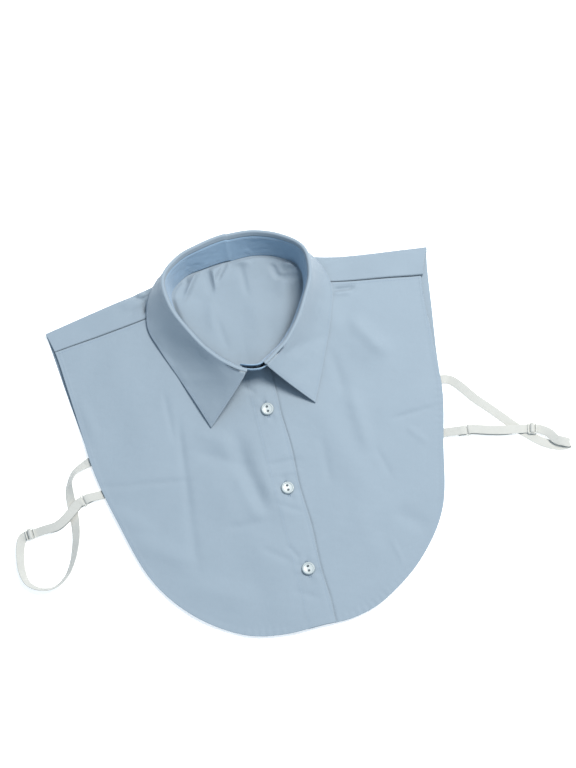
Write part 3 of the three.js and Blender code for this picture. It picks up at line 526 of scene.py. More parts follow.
def wrapped(rows, sides):
    """The vertex numbers of a grid whose rows close round."""
    ids = np.arange(rows * sides).reshape(rows, sides)
    return np.concatenate([ids, ids[:, :1]], 1)


def outward(points, faces):
    """Turns every face round when the closed surface would face inwards: its volume is summed."""
    a, b, c = (points[faces[:, index]] for index in range(3))
    volume = (a * np.cross(b, c)).sum()
    if faces.shape[1] == 4:
        volume += (a * np.cross(c, points[faces[:, 3]])).sum()
    return faces if volume > 0 else faces[:, ::-1]


def cloth_piece(name, node, middle, thick, finish, slot, pattern):
    """A closed cloth with a round rim.

    Both faces lie half the thickness from the middle grid along its normals. The thickness is that of a
    circle over the last half thickness before a rim, and the two faces share the rim's own points.
    """
    rows, cols = middle.shape[:2]
    normal = grid_normals(middle)
    rim = np.min(to_rims(middle), axis=0)
    near = 1 - np.clip(rim / (thick / 2), 0, 1)
    half = (thick / 2 * np.sqrt(1 - near ** 2))[..., None] * normal
    upper = np.arange(rows * cols).reshape(rows, cols)
    lower = upper + rows * cols
    for edge in (np.s_[0, :], np.s_[-1, :], np.s_[:, 0], np.s_[:, -1]):
        lower[edge] = upper[edge]
    faces = np.concatenate([quads(upper), quads(lower)[:, ::-1]])
    points = np.concatenate([(middle + half).reshape(-1, 3), (middle - half).reshape(-1, 3)])
    used, faces = np.unique(faces, return_inverse=True)
    faces = outward(points[used], faces.reshape(-1, 4))
    both = np.concatenate([pattern.reshape(-1, 2)] * 2)
    return make_mesh(name, points[used], faces, finish, slot, node, both[used])


class Value:
    """A number that varies over a material: sums, products and sines of it add Math nodes."""

    def __init__(self, finish, socket):
        self.finish = finish
        self.socket = socket

    def math(self, operation, *others):
        return self.finish.node("ShaderNodeMath", {"operation": operation}, self, *others)

    def __add__(self, other):
        return self.math("ADD", other)

    def __sub__(self, other):
        return self.math("SUBTRACT", other)

    def __mul__(self, other):
        return self.math("MULTIPLY", other)

    def __rsub__(self, other):
        return self.finish.node("ShaderNodeMath", {"operation": "SUBTRACT"}, other, self)

    __radd__ = __add__
    __rmul__ = __mul__

    def sine(self):
        return self.math("SINE")

    def size(self):
        return self.math("ABSOLUTE")

    def power(self, exponent):
        return self.math("POWER", exponent)


class Finish:
    """A material under making."""

    def __init__(self, name, colour, roughness, **fixed):
        self.material = bpy.data.materials.new(name)
        self.material.use_nodes = True
        self.tree = self.material.node_tree
        self.shader = self.tree.nodes["Principled BSDF"]
        self.shader.inputs["Base Color"].default_value = (*colour, 1)
        self.shader.inputs["Roughness"].default_value = roughness
        for socket, value in fixed.items():
            self.shader.inputs[socket.replace("_", " ")].default_value = value

    def feed(self, socket, value):
        """Sets a socket to a value or links a varying value to it."""
        if isinstance(value, Value):
            self.tree.links.new(value.socket, socket)
        else:
            socket.default_value = value

    def node(self, kind, settings, *inputs, output=0, **named):
        """A node with its settings, the values of its sockets in order or by name, and one output."""
        made = self.tree.nodes.new(kind)
        for setting, value in settings.items():
            setattr(made, setting, value)
        for socket, value in zip(made.inputs, inputs):
            self.feed(socket, value)
        for socket, value in named.items():
            self.feed(made.inputs[socket.replace("_", " ")], value)
        return Value(self, made.outputs[output])

    def place(self):
        """The place on the object, in metres."""
        return self.node("ShaderNodeTexCoord", {}, output="Object")

    def pattern(self):
        """The two numbers of the pattern map, in metres along and across the cloth."""
        both = self.node("ShaderNodeUVMap", {"uv_map": "pattern"})
        along = self.node("ShaderNodeSeparateXYZ", {}, both, output=0)
        across = self.node("ShaderNodeSeparateXYZ", {}, both, output=1)
        return both, along, across

    def noise(self, vector, scale, detail=3.0, roughness=0.5):
        """Soft noise from 0 to 1, in turns per metre."""
        return self.node("ShaderNodeTexNoise", {}, Vector=vector, Scale=scale, Detail=detail,
                         Roughness=roughness)

    def blend(self, share, first, second):
        """A colour between two colours."""
        mixed = self.tree.nodes.new("ShaderNodeMix")
        mixed.data_type = "RGBA"
        self.feed(mixed.inputs[0], share)
        self.feed(mixed.inputs[6], first)
        self.feed(mixed.inputs[7], second)
        return Value(self, mixed.outputs[2])

    def finish(self, colour, roughness=None, height=None, depth=0.0001, strength=1.0):
        """Links the varying colour, roughness and bump height, and gives the material."""
        self.feed(self.shader.inputs["Base Color"], colour)
        if roughness is not None:
            self.feed(self.shader.inputs["Roughness"], roughness)
        if height is not None:
            bump = self.node("ShaderNodeBump", {}, Height=height, Distance=depth, Strength=strength)
            self.feed(self.shader.inputs["Normal"], bump)
        return self.material


def shade(colour, factor):
    """A colour made lighter or darker."""
    return (*(min(1.0, value * factor) for value in colour), 1)


def poplin(name, colour):
    """Plain-woven cotton: fine crossing threads, a few thicker ones, and a soft uneven tone."""
    made = Finish(name, colour, 0.85, Sheen_Weight=0.25, Sheen_Roughness=0.45, Specular_IOR_Level=0.25)
    both, along, across = made.pattern()
    turns = 2 * math.pi / THREAD_PITCH
    warp = (along * turns).sine()
    weft = (across * turns).sine()
    crossing = warp * weft
    slub = made.noise(made.node("ShaderNodeMapping", {}, Vector=both, Scale=(2600, 60, 1)), 1.0, 2.0)
    weft_slub = made.noise(made.node("ShaderNodeMapping", {}, Vector=both, Scale=(60, 2600, 1)), 1.0, 2.0)
    cloudy = made.noise(made.place(), 26.0, 3.0)
    tone = made.blend(cloudy, shade(colour, 0.965), shade(colour, 1.035))
    threads = slub * 0.5 + weft_slub * 0.5
    fine = made.blend(threads * 0.8 + crossing * 0.1, shade(colour, 0.9), shade(colour, 1.1))
    mixed = made.blend(0.45, tone, fine)
    rough = 0.8 + 0.1 * cloudy
    crumple = made.noise(made.place(), 240.0, 3.0)
    height = crossing * 0.35 + slub * 0.4 + weft_slub * 0.4 + crumple * 1.6
    return made.finish(mixed, rough, height, 0.00012, 0.7)


def elastic(name, colour):
    """Woven elastic tape: ribs along it, fine rungs across it, and firm edges."""
    made = Finish(name, colour, 0.75, Sheen_Weight=0.2, Specular_IOR_Level=0.3)
    _, along, across = made.pattern()
    ribs = (across * (2 * math.pi / RIB_PITCH)).sine()
    rungs = (along * (2 * math.pi / RUNG_PITCH)).sine()
    knit = ribs * rungs
    worn = made.noise(made.place(), 120.0, 3.0)
    tone = made.blend(ribs * 0.25 + rungs * 0.15 + worn * 0.6, shade(colour, 0.88), shade(colour, 1.06))
    height = ribs * 0.6 + knit * 0.4 + rungs * 0.3
    return made.finish(tone, 0.7 + 0.15 * worn, height, 0.00018, 0.9)


def plastic(name, colour, roughness, coat):
    """Smooth moulded plastic with a faint cloud in it and fine wear in its gloss."""
    made = Finish(name, colour, roughness, Coat_Weight=coat, Coat_Roughness=0.12)
    cloud = made.noise(made.place(), 420.0, 4.0)
    wear = made.noise(made.place(), 1500.0, 3.0)
    tone = made.blend(cloud, shade(colour, 0.95), shade(colour, 1.03))
    return made.finish(tone, roughness + 0.12 * wear, wear + cloud, 0.00004, 0.4)


def thread(name, colour):
    """Sewing thread: two twisted strands seen as slanting ribs."""
    made = Finish(name, colour, 0.7, Sheen_Weight=0.2)
    twist = made.node("ShaderNodeTexWave", {"bands_direction": "DIAGONAL"}, Vector=made.place(), Scale=900.0)
    tone = made.blend(twist, shade(colour, 0.88), shade(colour, 1.08))
    return made.finish(tone, 0.62 + 0.14 * twist, twist, 0.00006, 0.8)


BLUE = (0.25, 0.31, 0.366)
# The band is the same cotton as the rest, but its colour is a brighter, bluer copy of BLUE: painted bounce
# light, standing in for light that shines through the band and bounces inside the shaded neck.
BAND_BLUE_PAINTED_BOUNCE = (0.255, 0.37, 0.49)
bib_cotton = poplin("bib cotton", BLUE)
collar_cotton = poplin("collar cotton", BLUE)
band_cotton_painted_bounce = poplin("band cotton with painted bounce light", BAND_BLUE_PAINTED_BOUNCE)
tape_elastic = elastic("tape elastic", (0.54, 0.545, 0.515))
button_white = plastic("button white", (0.4, 0.45, 0.46), 0.36, 0.2)
ring_plastic = plastic("ring plastic", (0.5, 0.51, 0.48), 0.4, 0.1)
blue_thread = thread("blue thread", (0.25, 0.33, 0.42))
# Near-black thread for the buttons: the thread is real, but its dark colour is painted shade for the shadow
# deep in the button holes.
thread_painted_hole_shade = thread("thread with painted hole shade", (0.09, 0.11, 0.13))


def edge_line(side, layer, first, final, count):
    """A stretch of the outline as points."""
    return np.stack(outline(side, np.linspace(first, final, count), layer), -1)


LAST_ROW = len(OUTLINE["down"]) - 1
FRONT_EDGE = np.concatenate([
    edge_line(-1, "front", SEAMS["left"][1], LAST_ROW, 220),
    edge_line(1, "front", LAST_ROW, SEAMS["right"][1], 220)[1:],
])
FRONT_RUN = run_along(FRONT_EDGE)


def hem_relief(far, run):
    """A folded hem: a raised edge, a groove at its stitches and small waves along it."""
    raised = 0.3 * smooth(HEM_WIDTH + 0.6, HEM_WIDTH - 0.3, far)
    groove = -0.26 * bell(far - HEM_STITCH, GROOVE)
    pull = 0.5 + 0.5 * np.sin(run / 23 + 1.3 * np.sin(run / 57))
    waves = 0.2 * pull * np.sin(2 * math.pi * run / 6.3 + 1.5 * np.sin(run / 31)) * smooth(11, 2, far)
    return raised + groove + waves


def button_pulls(x, y):
    """Where each button draws the placket in: a dent, rays of small creases and the buttonhole's slit."""
    height = np.zeros(np.shape(x))
    half = BUTTONHOLE / 2
    for index in range(BUTTON_COUNT):
        dx = x - BUTTON_LINE
        dy = y - FIRST_BUTTON + index * BUTTON_PITCH
        far = np.hypot(dx, dy)
        angle = np.arctan2(dy, dx)
        rays = np.sin(angle * 6 + index) * bell(far - 9, 4)
        slit = smooth(half + 0.5, half - 0.5, np.abs(dy)) * bell(dx, 0.35)
        welt = smooth(half + 0.9, half + 0.1, np.abs(dy)) * bell(np.abs(dx) - WELT_OUT, 0.5)
        height += 0.3 * rays - 0.5 * bell(far, 6) - 0.3 * slit + 0.12 * welt
    return height


def placket_relief(x, y):
    """The doubled placket of the left front: raised between its facing stitches and its edge."""
    raised = 0.3 * smooth(FACING - 0.7, FACING + 0.5, x)
    groove = -0.2 * bell(x - FACING - FACING_STITCH, GROOVE)
    edge = -0.16 * bell(x - BUTTON_LINE - PLACKET_EDGE + EDGE_STITCH, 0.6)
    return raised + groove + edge + button_pulls(x, y)


def soft_relief(x, y):
    """The creases and the unevenness of worn cotton away from the neck seam."""
    waves = 0.45 * wander(x, y, 62, 5) + 0.2 * wander(x, y, 27, 9) + 0.05 * wander(x, y, 11, 12)
    near_neck, _ = near_line(x, y, NECK_LINE, NECK_RISES)
    return smooth(0, 14, near_neck) * waves + CREASE_RISE * smooth(0, 6, near_neck) * ridges(CREASES, x, y)


def front_relief(x, y):
    """What the fronts have over their main shape: a soft unevenness, creases and hems."""
    far, run = near_line(x, y, FRONT_EDGE, FRONT_RUN)
    return soft_relief(x, y) + hem_relief(far, run)


def closing_bow(y):
    """How far the closing edge bows sideways between the buttons."""
    wave = np.cos(2 * math.pi * (y - FIRST_BUTTON) / BUTTON_PITCH)
    return -0.7 * wave * smooth(30, 0, y) * smooth(-185, -160, y)


def front_face(x, y, over):
    """The upper face of a front, with all its relief.

    The left front is pressed down at its edge, and the right one dips in a line beside that edge.
    """
    top = front_top(x, y) + front_relief(x, y)
    if over:
        pressed = 0.35 * smooth(BUTTON_LINE + PLACKET_EDGE - 6, BUTTON_LINE + PLACKET_EDGE, x)
        return top + lap_rise(x) - 0.3 * smooth(-40, -8, x) - pressed + placket_relief(x, y)
    beside = x - BUTTON_LINE - PLACKET_EDGE - closing_bow(y)
    return top - 0.7 * bell(beside - 0.2, 0.9) * smooth(45, 25, y)


def front_cloth(name, node, side, closing):
    """A front: straight spokes from the neck seam to the outline, laid on the front's upper face.

    The closing edge bows a little between the buttons. The right front stops short of its armhole, and
    both lie a hair below the shoulder seam.
    """
    over = side < 0
    seam_neck, seam_edge = SEAMS["left" if over else "right"]
    neck_end = bisect(0.9, 1.12, lambda share: -side * (neck_point(side * share)[0] - closing))
    edge_end = bisect(LAST_ROW - 0.9, LAST_ROW + 0.9,
                      lambda place: -side * (outline(side, place, "front")[0] - closing))
    turn = spread(230, 0.006)
    start = neck_point(side * mix(seam_neck, neck_end, turn ** 0.9))
    end_x, end_y = outline(side, mix(seam_edge, edge_end, turn), "front")
    share = spread(140, 0.008) ** 0.95
    if not over:
        end_x = end_x - ARMHOLE_SHORT * smooth(150, 125, end_y) * smooth(50, 80, end_y)
    drop = SEAM_DROP * (1 - smooth(0, 0.1, turn))
    x = mix(start[:, :1], end_x[:, None], share)
    y = mix(start[:, 1:2], end_y[:, None], share) - drop[:, None]
    x = x + closing_bow(y) * smooth(0.9, 1, turn)[:, None]
    middle = np.stack([x, y, front_face(x, y, over) - CLOTH / 2], -1)
    return cloth_piece(name, node, middle, CLOTH, bib_cotton, "cotton", middle[..., :2]), middle


def back_spokes(side):
    """The back's spokes as columns: neck share, edge place, turn over the shoulder, and bend."""
    seam_neck, seam_edge = SEAMS["left" if side < 0 else "right"]
    turn_from = seam_neck - 0.05
    turn_to = 0.18
    corner = RIDGE_ROUND / (float(column(OUTLINE, "down", 1)) * BIB_LENGTH)
    top = np.linspace(0, 1, 14)[:-1]
    over = np.linspace(0, 1, 26)
    low = np.linspace(0, 1, 81)[1:]
    neck = (mix(seam_neck, turn_from, top), mix(turn_from, turn_to, over), turn_to * (1 - low))
    edge = (mix(seam_edge, corner, top), 0 * over, mix(corner, LAST_ROW, low ** 0.9))
    turn = (1 + 0 * top, 1 - over, 0 * low)
    bend = (top, 1 + 0 * over, smooth(0.3, 0, low))
    return [np.concatenate(parts) for parts in (neck, edge, turn, bend)]


def ridge_plan(start, angle):
    """The fold over the shoulder rolls round by an angle."""
    return start[0], start[1] - RIDGE_ROUND * (1 - np.sin(angle))


def back_inside(side):
    """The inner face of one half of the back, spoke by spoke, from the shoulder seam to centre front."""
    neck, edge, turn, bend = back_spokes(side)
    name = "left" if side < 0 else "right"
    angle = turn * math.pi
    start = band_point(side * neck, 0, 1.1 * smooth(0.46, 0.36, neck) - BAND_WALL / 2)
    on_top = outline(side, edge, "front")
    below = outline(side, edge, "back")
    end_x = np.where(turn == 1, on_top[0], below[0])
    end_y = np.where(turn == 1, on_top[1], below[1])
    rolled = ridge_plan((end_x, end_y), angle)
    end_x = np.where(edge == 0, rolled[0], end_x)
    end_y = np.where(edge == 0, rolled[1], end_y)
    across, along = RIDGE_STARTS[name]
    bent_x, bent_y = ridge_plan((side * across * NECK_WIDTH / 2, NECK_FRONT + along * NECK_LENGTH), angle)
    middle_x = mix((start[:, 0] + end_x) / 2, bent_x, bend)
    middle_y = mix((start[:, 1] + end_y) / 2, bent_y, bend)
    share = spread(100, 0.01)[None] ** 1.2
    away = 1 - share

    def curve(first, middle, last):
        return away ** 2 * first[:, None] + 2 * share * away * middle[:, None] + share ** 2 * last[:, None]

    x = curve(start[:, 0], middle_x, end_x)
    y = curve(start[:, 1], middle_y, end_y)
    far = near_line(x, y, NECK_LINE, NECK_RISES)[0]
    full = 0.4 + 1.9 * smooth(46, 6, far)
    uneven = (0.2 + 0.3 * smooth(46, 6, far)) * wander(x, y, 34, 3)
    relief = PUCKER_RISE * ridges(PUCKERS, x, y) + uneven + full
    low = back_top(x, y) + smooth(0, 4, far) * np.logaddexp(0, 3 * relief) / 3
    high = front_top(x, y) - CLOTH_WALL + soft_relief(x, y)
    by_neck = smooth(0, 0.3, turn)[:, None]
    by_turn = ((1 - np.cos(angle)) / 2)[:, None]
    return np.stack([x, y, mix(low, high, mix(by_neck, by_turn, smooth(0, 0.35, share)))], -1)


def back_cloth():
    """The back panel: both halves joined at centre front, its cloth just inside the outer face."""
    inside = np.concatenate([back_inside(-1), back_inside(1)[::-1][1:]])
    normal = grid_normals(inside)
    middle = inside + normal * (CLOTH_WALL - CLOTH / 2)
    along = np.cumsum(np.linalg.norm(np.diff(inside, axis=0, prepend=inside[:1]), axis=-1), axis=0)
    pattern = np.stack([middle[..., 0], np.where(middle[..., 2] > 2, along, middle[..., 1])], -1)
    return cloth_piece("back_cloth", "back_panel", middle, CLOTH, bib_cotton, "cotton", pattern)


def band_ends():
    """The shares where the band ends on both sides."""
    left = -bisect(1, 1.12, lambda share: neck_point(-share)[0] - BUTTON_LINE - PLACKET_EDGE)
    right = bisect(1, 1.12, lambda share: BUTTON_LINE - UNDER_EDGE - neck_point(share)[0])
    return left, right


def band_cloth():
    """The stand: a doubled band with a round rim, rounded ends and a row of stitches along both edges."""
    left, right = band_ends()
    share = mix(left, right, spread(260, 0.004))[:, None]
    to_end = np.minimum(share - left, right - share)
    near = 1 - np.minimum(to_end / BAND_TAB, 1)
    tab = 0.45 + 0.55 * np.sqrt(1 - near * near)
    height = (fold_plan(share)[3] - FOLD_DROP) * tab
    below = 0.5 * smooth(0.46, 0.38, np.abs(share))
    up = spread(30, 0.05)[None] * (height + below) - below
    bulge = 0.25 * np.sin(np.maximum(up, 0) / np.maximum(height, 1) * math.pi)
    along = share * HALF_RING
    ripple = 0.11 * wander(along, 1.8 * up, 17, 31) + 0.08 * wander(along, 2 * up, 8, 32)
    calm = smooth(0, 4, up) * smooth(0, 4, height - up)
    seam = -0.24 * bell(up - BAND_STITCH, GROOVE) - 0.24 * bell(height - up - BAND_STITCH, GROOVE)
    inward = 0.18 * smooth(0.03, 0, np.abs(share))
    middle = band_point(share, up, (bulge + ripple * calm) * smooth(0, 0.05, np.abs(share)) - inward)
    pattern = np.stack([along + 0 * up, up], -1)
    thick = BAND_CLOTH + seam - 0.85 * smooth(1.6, 0, height - up)
    # The band's finish carries painted bounce light: a brighter, bluer copy of the collar's cotton.
    piece = cloth_piece("band_cloth", "collar_band", middle, thick, band_cotton_painted_bounce, "collar_cotton", pattern)
    return piece, middle, up, height - up


def leaf_ends():
    """The shares where the leaf's two front edges leave the band."""
    left = -bisect(0.8, 1, lambda share: LEAF_START_LEFT + fold_plan(-share)[0])
    right = bisect(0.8, 1, lambda share: LEAF_START_RIGHT - fold_plan(share)[0])
    return left, right


def leaf_sections(share, left, right):
    """The leaf's inner face: up from the band, over in a half round, then a curve down to the free edge."""
    x, y, lean, height, rise = fold_plan(share)
    top = height - FOLD_DROP
    side = np.where(share < 0, -1, 1)
    end = np.where(share < 0, left, right)
    place = share / end * (len(LEAF["left"]) - 1)
    roll_end = np.radians(mix(168, 140, smooth(0.3, 0.6, np.abs(share))))[:, None]
    start = band_point(share, top, LEAF_WALL / 2)
    tall = GAP + LEAF_STAND + LEAF_ROLL - FOLD_ROUND + (LEAF_WALL - LEAF_CLOTH) / 2
    stand = band_point(share, top + tall, LEAF_WALL / 2 + 0.5)
    up = unit(stand - start)
    out = band_point(share, top, LEAF_WALL / 2 + 1) - start
    centre = stand + out * FOLD_ROUND
    lines = [mix(start, stand, step) for step in (0, 0.1, 0.3, 0.5, 0.75, 1)]
    for step in np.linspace(0, 1, 13)[1:]:
        angle = roll_end * step
        lines.append(centre - out * FOLD_ROUND * np.cos(angle) + up * FOLD_ROUND * np.sin(angle))
    rolled = lines[-1]
    heading = out * np.sin(roll_end) + up * np.cos(roll_end)
    edge_x = side * by_side(LEAF, "", side, place, -1, 0) * NECK_WIDTH / 2
    edge_y = NECK_FRONT + by_side(LEAF, "Along", side, place, 1, 0) * NECK_LENGTH
    over = column(LEAF, "over", place, 1, 0)
    lift = np.where(side < 0, lap_rise(edge_x), 0)
    resting = front_top(edge_x, edge_y) + lift + over * LEAF_CLEAR
    lowest = LEAF_WALL + LEAF_LOW
    edge_z = np.maximum(mix(resting, lowest, smooth(0, -0.6, over)), lowest)
    edge = np.stack([edge_x, edge_y, edge_z], -1)
    turn = (column(LEAF, "turn", place, 1, 0) * LEAF_WIDTH)[:, None]
    out_x, out_y = ring_out(share)
    outside = edge + turn * np.stack([out_x, out_y, 0 * out_x], -1)
    back = rolled - edge
    back[:, 2] = 0
    inside = edge - unit(back) * turn
    inside[:, 2] = mix(edge[:, 2], rolled[:, 2], 0.3)
    belly = np.where(turn > 0, outside, inside)
    reach = np.linalg.norm(rolled - edge, axis=-1, keepdims=True) / 3
    straight = unit(edge - rolled)
    heading = unit(mix(heading, straight, 0.8 * smooth(0.7, 1, share / end)[:, None]))
    first = rolled + heading * reach
    for s in spread(46, 0.03)[5:]:
        lines.append((1 - s) ** 3 * rolled + 3 * (1 - s) ** 2 * s * first
                     + 3 * (1 - s) * s * s * belly + s ** 3 * edge)
    return np.stack(lines, 1)


def leaf_cloth():
    """The fall: its sections round the ring, with stitched edges and an uneven, softly pressed surface."""
    left, right = leaf_ends()
    share = mix(left, right, spread(250, 0.01))
    inside = leaf_sections(share, left, right)
    normal = grid_normals(inside)
    first, last, top, low = to_rims(inside)
    rim = np.minimum(np.minimum(first, last), low)
    seam = -0.22 * bell(rim - LEAF_STITCH, GROOVE) + 0.12 * bell(rim - 0.9, 0.9)
    seam = seam * smooth(6, 12, top)
    x, y = inside[..., 0], inside[..., 1]
    uneven = 0.3 * wander(x, y, 34, 21) + 0.12 * wander(x, y, 13, 22) + ridges(LEAF_CREASES, x, y)
    uneven = uneven * smooth(8, 16, top) * smooth(0, 6, rim)
    middle = inside + normal * (LEAF_WALL / 2 + uneven)[..., None]
    pattern = np.stack([share[:, None] * HALF_RING + 0 * top, top], -1)
    thick = LEAF_CLOTH + seam
    piece = cloth_piece("leaf_cloth", "collar_leaf", middle, thick, collar_cotton, "collar_cotton", pattern)
    return piece, middle


def walk(path, normals, step):
    """Places, directions and normals every step along a path of points."""
    run = run_along(path)
    at = np.arange(step / 2, run[-1], step)
    ahead = at_run(at + 0.3, run, path)
    behind = at_run(at - 0.3, run, path)
    return at_run(at, run, path), unit(ahead - behind), unit(at_run(at, run, normals))


def sew(place, direction, up, length, wide, arch=0.06):
    """Points and faces of stitches: each is a short round thread with pointed ends, bowed up by its arch."""
    across = unit(np.cross(up, direction))
    turns = np.arange(6) * math.pi / 3
    rings = np.linspace(0, math.pi, 6)[1:-1]
    shape = [(-0.5, 0, 0)]
    for ring in rings:
        for turn in turns:
            radius = wide / 2 * math.sin(ring) ** 0.6
            shape.append((-math.cos(ring) / 2, radius * math.cos(turn), radius * math.sin(turn)))
    shape.append((0.5, 0, 0))
    shape = np.array(shape)
    bow = arch * (1 - (2 * shape[:, 0]) ** 2)
    points = (place[:, None] + direction[:, None] * shape[None, :, :1] * length
              + across[:, None] * shape[None, :, 1:2] + up[:, None] * (shape[:, 2] + bow)[None, :, None])
    count = len(shape)
    faces = []
    for side in range(6):
        other = (side + 1) % 6
        faces.append((0, 1 + other, 1 + side))
        for low in (1, 7, 13):
            faces.append((low + side, low + other, low + 6 + other, low + 6 + side))
        faces.append((19 + side, 19 + other, count - 1))
    whole = [[corner + count * index for corner in face] for index in range(len(place)) for face in faces]
    return points.reshape(-1, 3), whole


def joined(parts):
    """Points and faces of several parts as one."""
    faces = []
    count = 0
    for points, sides in parts:
        faces += [[corner + count for corner in face] for face in sides]
        count += len(points)
    return np.concatenate([points for points, sides in parts]), faces


def stitch_piece(name, rows, slot):
    """One piece of many stitches along several rows, each a path with its normals."""
    parts = [sew(*walk(path, normals, STITCH_STEP), STITCH_LENGTH, STITCH_WIDE) for path, normals in rows]
    return make_mesh(name, *joined(parts), blue_thread, slot)


def on_front(x, y, over):
    """Points and normals of a front's upper face."""
    step = 0.4
    slope_x = (front_face(x + step, y, over) - front_face(x - step, y, over)) / (2 * step)
    slope_y = (front_face(x, y + step, over) - front_face(x, y - step, over)) / (2 * step)
    normals = unit(np.stack([-slope_x, -slope_y, 1 + 0 * x], -1))
    return np.stack([x, y, front_face(x, y, over)], -1), normals


def inner_edge(inset):
    """The fronts' outline moved inwards."""
    along = unit(np.gradient(FRONT_EDGE, axis=0))
    return FRONT_EDGE + inset * np.stack([-along[:, 1], along[:, 0]], -1)


def on_grid(middle, thick, far, inset):
    """A row over a grid, where a distance along its lines passes an inset: points and normals."""
    normal = grid_normals(middle)
    face = middle + normal * thick / 2
    points, normals = [], []
    for places, turned, distance in zip(face, normal, far):
        order = np.argsort(distance)
        points.append(at_run(inset, distance[order], places[order]))
        normals.append(at_run(inset, distance[order], turned[order]))
    return np.array(points), unit(np.array(normals))


front_over, over_grid = front_cloth("front_cloth_over", "front_panel_over", -1, BUTTON_LINE + PLACKET_EDGE)
front_under, under_grid = front_cloth("front_cloth_under", "front_panel_under", 1, BUTTON_LINE - UNDER_EDGE)
back = back_cloth()
band, band_grid, band_up, band_down = band_cloth()
leaf, leaf_grid = leaf_cloth()

hem_path = inner_edge(HEM_STITCH)
seam_x = BUTTON_LINE + PLACKET_EDGE
hem_left = hem_path[hem_path[:, 0] < seam_x - 0.5]
hem_right = hem_path[hem_path[:, 0] > seam_x + 0.8]
down_line = np.linspace(30, -181, 400)
bib_rows = [on_front(*hem_left[2:].T, True), on_front(*hem_right[:-2].T, False)]
for line_x in (FACING + FACING_STITCH, seam_x - EDGE_STITCH):
    bib_rows.append(on_front(line_x + 0 * down_line, down_line, True))
for grid, over in ((over_grid, True), (under_grid, False)):
    line = grid[0]
    bib_rows.append(on_front(line[8:-6, 0], line[8:-6, 1] - 2.4, over))
bib_stitches = stitch_piece("bib_stitches", bib_rows, "cotton")

beside = np.arange(-BUTTONHOLE / 2, BUTTONHOLE / 2, 0.42)
welts = []
for index in range(BUTTON_COUNT):
    along = FIRST_BUTTON - index * BUTTON_PITCH + beside
    for side in (-1, 1):
        at, up = on_front(BUTTON_LINE + side * WELT_OUT + 0 * beside, along, True)
        welts.append(sew(at, unit(np.cross(np.array([0, 1, 0]), up)), up, 1.2, 0.36))
hole_stitches = make_mesh("buttonhole_stitches", *joined(welts), blue_thread, "cotton")

leaf_first, leaf_last, leaf_top, leaf_low = to_rims(leaf_grid)
corner = np.searchsorted(leaf_first[:, -8], LEAF_STITCH)
low_row = on_grid(leaf_grid, LEAF_CLOTH, leaf_low, LEAF_STITCH)
leaf_rows = [(low_row[0][corner:-corner], low_row[1][corner:-corner])]
shown = (leaf_top[0] > 9) & (leaf_low[0] > LEAF_STITCH)
for far in (leaf_first, leaf_last):
    points, normals = on_grid(leaf_grid.swapaxes(0, 1), -LEAF_CLOTH, far.T, LEAF_STITCH)
    leaf_rows.append((points[shown], -normals[shown]))
leaf_stitches = stitch_piece("leaf_stitches", leaf_rows, "collar_cotton")
band_rows = []
for far in (band_up, band_down):
    points, normals = on_grid(band_grid, BAND_CLOTH, far, BAND_STITCH)
    band_rows.append((points[6:-6], normals[6:-6]))
band_stitches = stitch_piece("band_stitches", band_rows, "collar_cotton")


def button_heights(radius):
    """The profile of a button's upper face: a raised round rim, a shallow dish and a flat middle."""
    rim = 0.55 * bell(radius - 0.82, 0.11)
    fall = 1 - smooth(0.86, 1.0, radius) ** 2
    return (1.45 + rim) * np.sqrt(np.clip(fall, 0, 1)) * (1 - 0.1 * smooth(0.65, 0.2, radius))


def turned_piece(name, node, at, normal, width, heights, holes):
    """A round piece: the profile of its upper face carried round, with two holes sunk into it or none."""
    radius = np.concatenate([np.linspace(0, 0.55, 38)[1:], np.linspace(0.55, 1, 24)[1:]])
    turns = np.linspace(0, 2 * math.pi, 91)[:-1]
    r, turn = np.meshgrid(radius, turns, indexing="ij")
    x = r * width / 2 * np.cos(turn)
    y = r * width / 2 * np.sin(turn)
    top = heights(r)
    for end in (-1, 1) if holes else ():
        away = np.hypot(x, y - end * BUTTON_HOLE_PITCH / 2)
        top = mix(top, 0.2, smooth(1.12, 0.95, away))
    low = 0.15 * smooth(0.8, 1.0, r)
    upper = np.stack([x, y, np.maximum(top, low)], -1).reshape(-1, 3)
    lower = np.stack([x, y, low], -1).reshape(-1, 3)
    rings, sides = r.shape
    ids = wrapped(rings, sides)
    under = ids + rings * sides
    under[-1] = ids[-1]
    poles = 2 * rings * sides
    points = np.concatenate([upper, lower, [[0, 0, float(heights(0))], [0, 0, 0]]])
    used = np.unique(np.concatenate([ids.ravel(), under.ravel(), [poles, poles + 1]]))
    faces = np.concatenate([quads(ids)[:, ::-1], quads(under)]).tolist()
    for side in range(sides):
        faces.append([poles, int(ids[0, side]), int(ids[0, side + 1])])
        faces.append([poles + 1, int(under[0, side + 1]), int(under[0, side])])
    order = np.searchsorted(used, np.arange(poles + 2))
    faces = [[int(order[corner]) for corner in face] for face in faces]
    z_axis = unit(np.asarray(normal, float))
    y_axis = unit(np.array([0, 1, 0]) - z_axis[1] * z_axis)
    x_axis = np.cross(y_axis, z_axis)
    points = points[used]
    points = at + points[:, :1] * x_axis + points[:, 1:2] * y_axis + points[:, 2:] * z_axis
    first = points[faces[0]]
    if np.cross(first[1] - first[0], first[2] - first[1]) @ z_axis < 0:
        faces = [face[::-1] for face in faces]
    make_mesh(name, points, faces, button_white, "button", node)
    return x_axis, y_axis, z_axis


